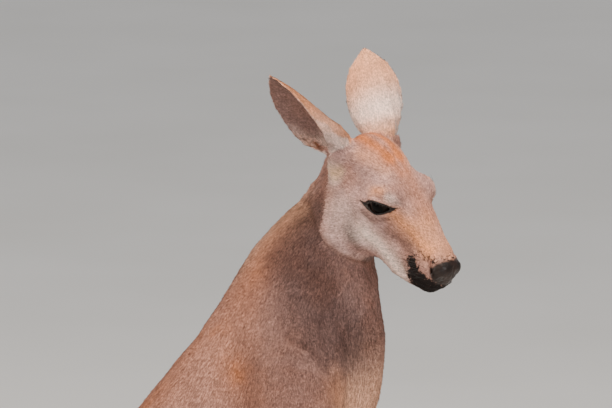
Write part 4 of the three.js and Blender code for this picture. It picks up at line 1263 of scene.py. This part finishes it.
def eye_material():
    """A wet ball: near-black pupil in a dark brown iris."""
    material, n, shader = new_material("wet eye", Roughness=0.08, Specular_IOR_Level=0.05)
    iris = n.value("iris")
    streaks = n.noise(n.place(), 500.0)
    brown = n.mix(n.ramp(streaks, 0.35, 0.65), colour(10, 5, 3), colour(20, 10, 6))
    n.put(n.mix(iris, colour(3, 2, 2), brown), shader["Base Color"])
    return material


def horn_material():
    """Claw horn: dark, with lengthwise streaks and a paler worn tip."""
    material, n, shader = new_material("claw horn", Roughness=0.42, Coat_Weight=0.15)
    place = n.place()
    streaks = n.noise(place, 380.0, 4.0)
    tone = n.mix(n.ramp(streaks, 0.3, 0.7), colour(38, 31, 28), colour(84, 70, 60))
    worn = n.ramp(n.value("reach"), 0.55, 1.0, 0.0, 0.45)
    n.put(n.mix(worn, tone, colour(128, 108, 88)), shader["Base Color"])
    n.put(n.ramp(streaks, 0.3, 0.7, 0.34, 0.55), shader["Roughness"])
    n.put(bump(n, streaks, 0.35, 0.3 * MM), shader["Normal"])
    return material


def dark_hair_material():
    material, n, shader = new_material("whisker hair", Roughness=0.45)
    tone = n.mix(n.value("reach"), colour(16, 11, 10), colour(52, 38, 32))
    n.put(tone, shader["Base Color"])
    return material


def lid_material(bare_hide):
    material, n, shader = new_material("moist lid rim", Specular_IOR_Level=0.3)
    hide = n.group(bare_hide, scale=900.0)
    tone = n.mix(n.ramp(n.noise(n.place(), 400.0), 0.35, 0.65), colour(8, 5, 4), colour(20, 13, 11))
    n.put(tone, shader["Base Color"])
    n.put(hide.outputs["Roughness"], shader["Roughness"])
    n.put(bump(n, hide.outputs["Height"], 0.3, 0.2 * MM), shader["Normal"])
    return material


def floor_material():
    material, n, shader = new_material("pale floor", Roughness=0.7)
    faint = n.noise(n.place(), 1.5, 2.0)
    tone = n.mix(n.ramp(faint, 0.3, 0.7), colour(226, 224, 219), colour(232, 230, 226))
    n.put(tone, shader["Base Color"])
    return material


# ---------------------------------------------------------------- eyes, lids, whiskers and claws
def make_eye(side, material):
    """The eyeball, with a slightly raised cornea over a wide dark iris."""
    ball = bmesh.new()
    bmesh.ops.create_uvsphere(ball, u_segments=64, v_segments=40, radius=1)
    mesh = bpy.data.meshes.new(f"{side}_eyeball")
    ball.to_mesh(mesh)
    ball.free()
    gaze = head_direction((0.32, SIDES[side], 0.05))
    directions = unit(points_of(mesh))
    facing = directions @ gaze
    cornea = 0.55 * MM * ease((facing - 0.62) / 0.3)
    set_points(mesh, EYE[side] + directions * (EYE_RADIUS - 0.4 * MM + cornea)[:, None])
    level = directions @ HEAD_AXES[2]
    pupil = np.hypot(np.arccos(np.clip(facing, -1, 1)), 1.1 * level)
    give_values(mesh, iris=ease((pupil - 0.5) / 0.12) * ease((1.25 - pupil) / 0.15))
    mesh.shade_smooth()
    mesh.materials.append(material)
    eyeball = new_object(f"{side}_eyeball", mesh)
    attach(eyeball, "root")
    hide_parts(f"{side}_eye")
    return eyeball


def swept(paths, radii, sides):
    """Closed rods along paths: the points, faces and share of the length at each point."""
    points, triangles, reach = [], [], []
    offset = 0
    for path, radius in zip(paths, radii):
        path = np.asarray(path, float)
        steps = unit(np.gradient(path, axis=0))
        first = unit(np.cross(steps, [0.31, 0.2, 0.93]))
        second = np.cross(steps, first)
        angles = np.arange(sides) * 2 * math.pi / sides
        turned_first = np.cos(angles)[None, :, None] * first[:, None]
        turned_second = np.sin(angles)[None, :, None] * second[:, None]
        ring = turned_first + turned_second
        rows = path[:, None] + ring * np.asarray(radius)[:, None, None]
        count = len(path)
        points.append(np.concatenate([rows.reshape(-1, 3), path[:1], path[-1:]]))
        for row in range(count - 1):
            for k in range(sides):
                a, b = offset + row * sides + k, offset + row * sides + (k + 1) % sides
                triangles += [(a, b, a + sides), (b, b + sides, a + sides)]
        first_cap, last_cap = offset + count * sides, offset + count * sides + 1
        for k in range(sides):
            last = offset + (count - 1) * sides
            triangles.append((first_cap, offset + (k + 1) % sides, offset + k))
            triangles.append((last_cap, last + k, last + (k + 1) % sides))
        share = np.linspace(0, 1, count)
        reach.append(np.concatenate([np.repeat(share, sides), [0, 1]]))
        offset += count * sides + 2
    return np.concatenate(points), np.array(triangles), np.concatenate(reach)


def rods(name, paths, radii, sides, material):
    points, triangles, reach = swept(paths, radii, sides)
    mesh = mesh_of_triangles(name, points, triangles)
    give_values(mesh, reach=reach)
    mesh.materials.append(material)
    made = new_object(name, mesh)
    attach(made, "root")
    return made


LID_POINTS = 26  # along the edge of each lid
LASH_POINTS = 60  # along the same edge, to choose the roots of the lashes from
LASH_COUNT = 26
CLAW_ROOT_DEPTH = 3.0 * MM  # how far a claw's root is drawn back into the toe
CLAW_GROWTH = 0.12  # to make up for what the rounding takes off
CLAW_FLOOR_GAP = 0.2 * MM


def slit_point(side, along, across, out):
    """A place by the eye in the frame's metres."""
    across = across - SLIT_DROP
    x = along * math.cos(SLIT_RISE) - across * math.sin(SLIT_RISE)
    z = along * math.sin(SLIT_RISE) + across * math.cos(SLIT_RISE)
    return from_head(np.stack([x, SIDES[side] * (EYE_OUT + out), z], -1))


def lid_edge(side, upper, count):
    """The free edge of one lid, from the rear corner to the one by the nose."""
    along = np.linspace(-1, 1, count) * SLIT["half_length"]
    way = 1.0 if upper else -1.0
    across = way * slit_height(along, way)
    radius = np.hypot(along, across - SLIT_DROP)
    out = np.sqrt(np.clip((EYE_RADIUS / MM + 0.75) ** 2 - radius**2, 4.5**2, None))
    return slit_point(side, along, across, out)


def make_lid_rims(side, material):
    """The moist dark margins of both lids."""
    share = np.linspace(-1, 1, LID_POINTS)
    thick = (0.55 + 0.6 * (1 - share**2)) * MM
    edges = [lid_edge(side, upper, LID_POINTS) for upper in (True, False)]
    return rods(f"{side}_lid_rims", edges, [thick, thick * 0.85], 8, material)


def make_lashes(side, material):
    """Short dark lashes on the upper lid."""
    random = np.random.default_rng(21 + SIDES[side])
    edge = lid_edge(side, True, LASH_POINTS)
    paths, radii = [], []
    for share in np.linspace(0.12, 0.95, LASH_COUNT):
        start = edge[int(share * (LASH_POINTS - 1))]
        out = unit(start - EYE[side])
        way = unit(out + 0.9 * head_direction((0.55, 0, 0.1)) + random.normal(0, 0.12, 3))
        length = (5.0 + 3.5 * math.sin(math.pi * share) + random.uniform(-1, 1)) * MM
        steps = np.linspace(0, 1, 4)[:, None]
        paths.append(start + way * steps * length - HEAD_AXES[2] * steps**2 * length * 0.35)
        radii.append(np.array([0.16, 0.13, 0.09, 0.03]) * MM)
    return rods(f"{side}_lashes", paths, radii, 3, material)


WHISKER_ROWS = [  # along the muzzle, up it, and the longest hair of the row, in millimetres
    ((70, -24), (94, -20), 34),
    ((68, -31), (96, -28), 42),
    ((68, -38), (98, -36), 40),
    ((72, -45), (98, -43), 30),
]


def make_whiskers(side, tree, material):
    """Fine dark whiskers on the upper lip and over the eye."""
    random = np.random.default_rng(31 + SIDES[side])
    roots = []
    for (x0, z0), (x1, z1), longest in WHISKER_ROWS:
        roots += [((x0 + (x1 - x0) * t, z0 + (z1 - z0) * t), longest) for t in np.linspace(0, 1, 6)]
    roots += [((8 + 3 * k, 24 - k), 26) for k in range(4)]
    paths, radii = [], []
    for (x, z), longest in roots:
        x, z = x + random.uniform(-1.5, 1.5), z + random.uniform(-1.2, 1.2)
        outside = Vector(from_head((x, SIDES[side] * 90, z)))
        hit, normal, _, _ = tree.ray_cast(outside, Vector(head_direction((0, -SIDES[side], 0))))
        if hit is None:
            continue
        length = longest * random.uniform(0.6, 1.0) * MM
        way = unit(0.75 * np.array(normal) + head_direction((-0.75, 0, -0.2)) + random.normal(0, 0.1, 3))
        steps = np.linspace(0, 1, 7)[:, None]
        droop = head_direction((-0.45, 0, -0.5)) * steps**2 * length * 0.4
        paths.append(np.array(hit) - way * 1.0 * MM + way * steps * length + droop)
        radii.append(np.linspace(0.19, 0.04, 7) * MM)
    return rods(f"{side}_whiskers", paths, radii, 4, material)


def make_claw(node, material):
    """A claw of smooth horn in place of its plain solid, rooted in the toe."""
    work = bmesh.new()
    work.from_mesh(nodes[node].data)
    bmesh.ops.remove_doubles(work, verts=work.verts, dist=0.01 * MM)
    mesh = bpy.data.meshes.new(f"{node}_horn")
    work.to_mesh(mesh)
    work.free()
    side, part = node.split("_")[0], "hand" if "finger" in node else "foot"
    flesh = points_of(nodes[f"{side}_{part}"].data)
    points = points_of(mesh)
    gap = np.array([np.linalg.norm(flesh - point, axis=1).min() for point in points])
    root, tip = points[gap < np.percentile(gap, 30)].mean(0), points[gap.argmax()]
    axis = tip - root
    reach = np.clip((points - root) @ axis / (axis @ axis), 0, 1)
    sunk = points - unit(axis) * (CLAW_ROOT_DEPTH * (1 - reach) ** 2)[:, None]
    grown = sunk + CLAW_GROWTH * (sunk - root - reach[:, None] * axis)
    grown[:, 2] = np.maximum(grown[:, 2], CLAW_FLOOR_GAP)
    set_points(mesh, grown)
    give_values(mesh, reach=reach)
    mesh.materials.append(material)
    claw = new_object(f"{node}_horn", mesh)
    rounding = claw.modifiers.new("rounding", "SUBSURF")
    rounding.levels = rounding.render_levels = 2
    claw.data = as_seen(claw)
    claw.modifiers.clear()
    claw.data.shade_smooth()
    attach(claw, "root")
    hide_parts(node)
    return claw


# ---------------------------------------------------------------- stage, light and camera
FLOOR_REACH = 30.0
WARM_LIGHT, PLAIN_LIGHT = colour(255, 244, 232), colour(255, 255, 255)
LIGHTS = {  # place, what it faces, diameter, watts and tint
    "key": ((-0.4, -0.3, 3.8), (0, -0.4, 0.8), 2.0, 165, WARM_LIGHT),
    "front": ((-3.0, -3.2, 2.2), (0, -0.4, 0.9), 2.5, 85, PLAIN_LIGHT),
    "rear": ((-2.4, 2.8, 2.6), (0, -0.1, 0.7), 2.5, 110, WARM_LIGHT),
}


def make_stage():
    floor_mesh = bpy.data.meshes.new("floor")
    corners = [(-1, -1), (1, -1), (1, 1), (-1, 1)]
    floor_mesh.from_pydata([(x * FLOOR_REACH, y * FLOOR_REACH, 0) for x, y in corners], [], [(0, 1, 2, 3)])
    floor_mesh.materials.append(floor_material())
    new_object("floor", floor_mesh)
    world = bpy.data.worlds.new("studio")
    bpy.context.scene.world = world
    world.use_nodes = True
    backdrop = world.node_tree.nodes["Background"].inputs
    backdrop["Color"].default_value = colour(238, 238, 240)
    backdrop["Strength"].default_value = 0.65


def area_light(name, place, target, size, power, tint):
    light = bpy.data.lights.new(name, "AREA")
    light.shape = "DISK"
    light.size = size
    light.energy = power
    light.color = tint[:3]
    lamp = new_object(name, light)
    lamp.location = place
    lamp.rotation_mode = "QUATERNION"
    lamp.rotation_quaternion = (Vector(target) - Vector(place)).to_track_quat("-Z", "Y")


VIEW_TURN = math.radians(-75)
VIEW_RISE = math.radians(10)
IMAGE_SIZE = (612, 408)
EYES_AT = (401, 199)  # where the middle of the eyes falls in the image
PIXELS_PER_MM = 0.8
VIEW_DISTANCE = 6.5
SENSOR = 36.0


def make_camera():
    level = math.cos(VIEW_RISE)
    back = np.array([math.sin(VIEW_TURN) * level, -math.cos(VIEW_TURN) * level, math.sin(VIEW_RISE)])
    right = unit(np.cross([0, 0, 1], back))
    up = np.cross(back, right)
    shift = np.array([EYES_AT[0] - IMAGE_SIZE[0] / 2, IMAGE_SIZE[1] / 2 - EYES_AT[1]]) / PIXELS_PER_MM * MM
    centre = HEAD_ORIGIN - right * shift[0] - up * shift[1]
    camera = bpy.data.cameras.new("camera")
    camera.sensor_width = SENSOR
    camera.lens = SENSOR * VIEW_DISTANCE / (IMAGE_SIZE[0] / PIXELS_PER_MM * MM)
    camera.clip_end = 100
    seen = new_object("camera", camera)
    seen.location = Vector(centre + back * VIEW_DISTANCE)
    seen.rotation_mode = "QUATERNION"
    seen.rotation_quaternion = Vector(-back).to_track_quat("-Z", "Y")
    bpy.context.scene.camera = seen


# ---------------------------------------------------------------- the kangaroo
def make_kangaroo():
    coat_colour, bare_hide = coat_colour_group(), leather_group()
    coat_paint, dark_hair = coat_material(coat_colour), dark_hair_material()
    skin = Skin(*make_skin())
    give_values(skin.mesh, **{name: skin.marks[name] for name in (*MARKS, "leather", "lid")})
    skin.mesh.shade_smooth()
    skin.mesh.materials.append(skin_material(coat_colour, bare_hide))
    hide = new_object("skin", skin.mesh)
    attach(hide, "root")
    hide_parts(*FLESH)
    for number, piece in enumerate(COAT_PIECES):
        make_coat(skin, piece, COAT_SEED + number, coat_paint)
    tree = BVHTree.FromPolygons(skin.points.tolist(), skin.triangles.tolist())
    wet, rim = eye_material(), lid_material(bare_hide)
    for side in SIDES:
        make_eye(side, wet)
        make_lid_rims(side, rim)
        make_lashes(side, dark_hair)
        make_whiskers(side, tree, dark_hair)
    horn = horn_material()
    for name in sorted(nodes):
        if "_claw" in name:
            make_claw(name, horn)


make_kangaroo()
make_stage()
for light_name, settings in LIGHTS.items():
    area_light(light_name, *settings)
make_camera()
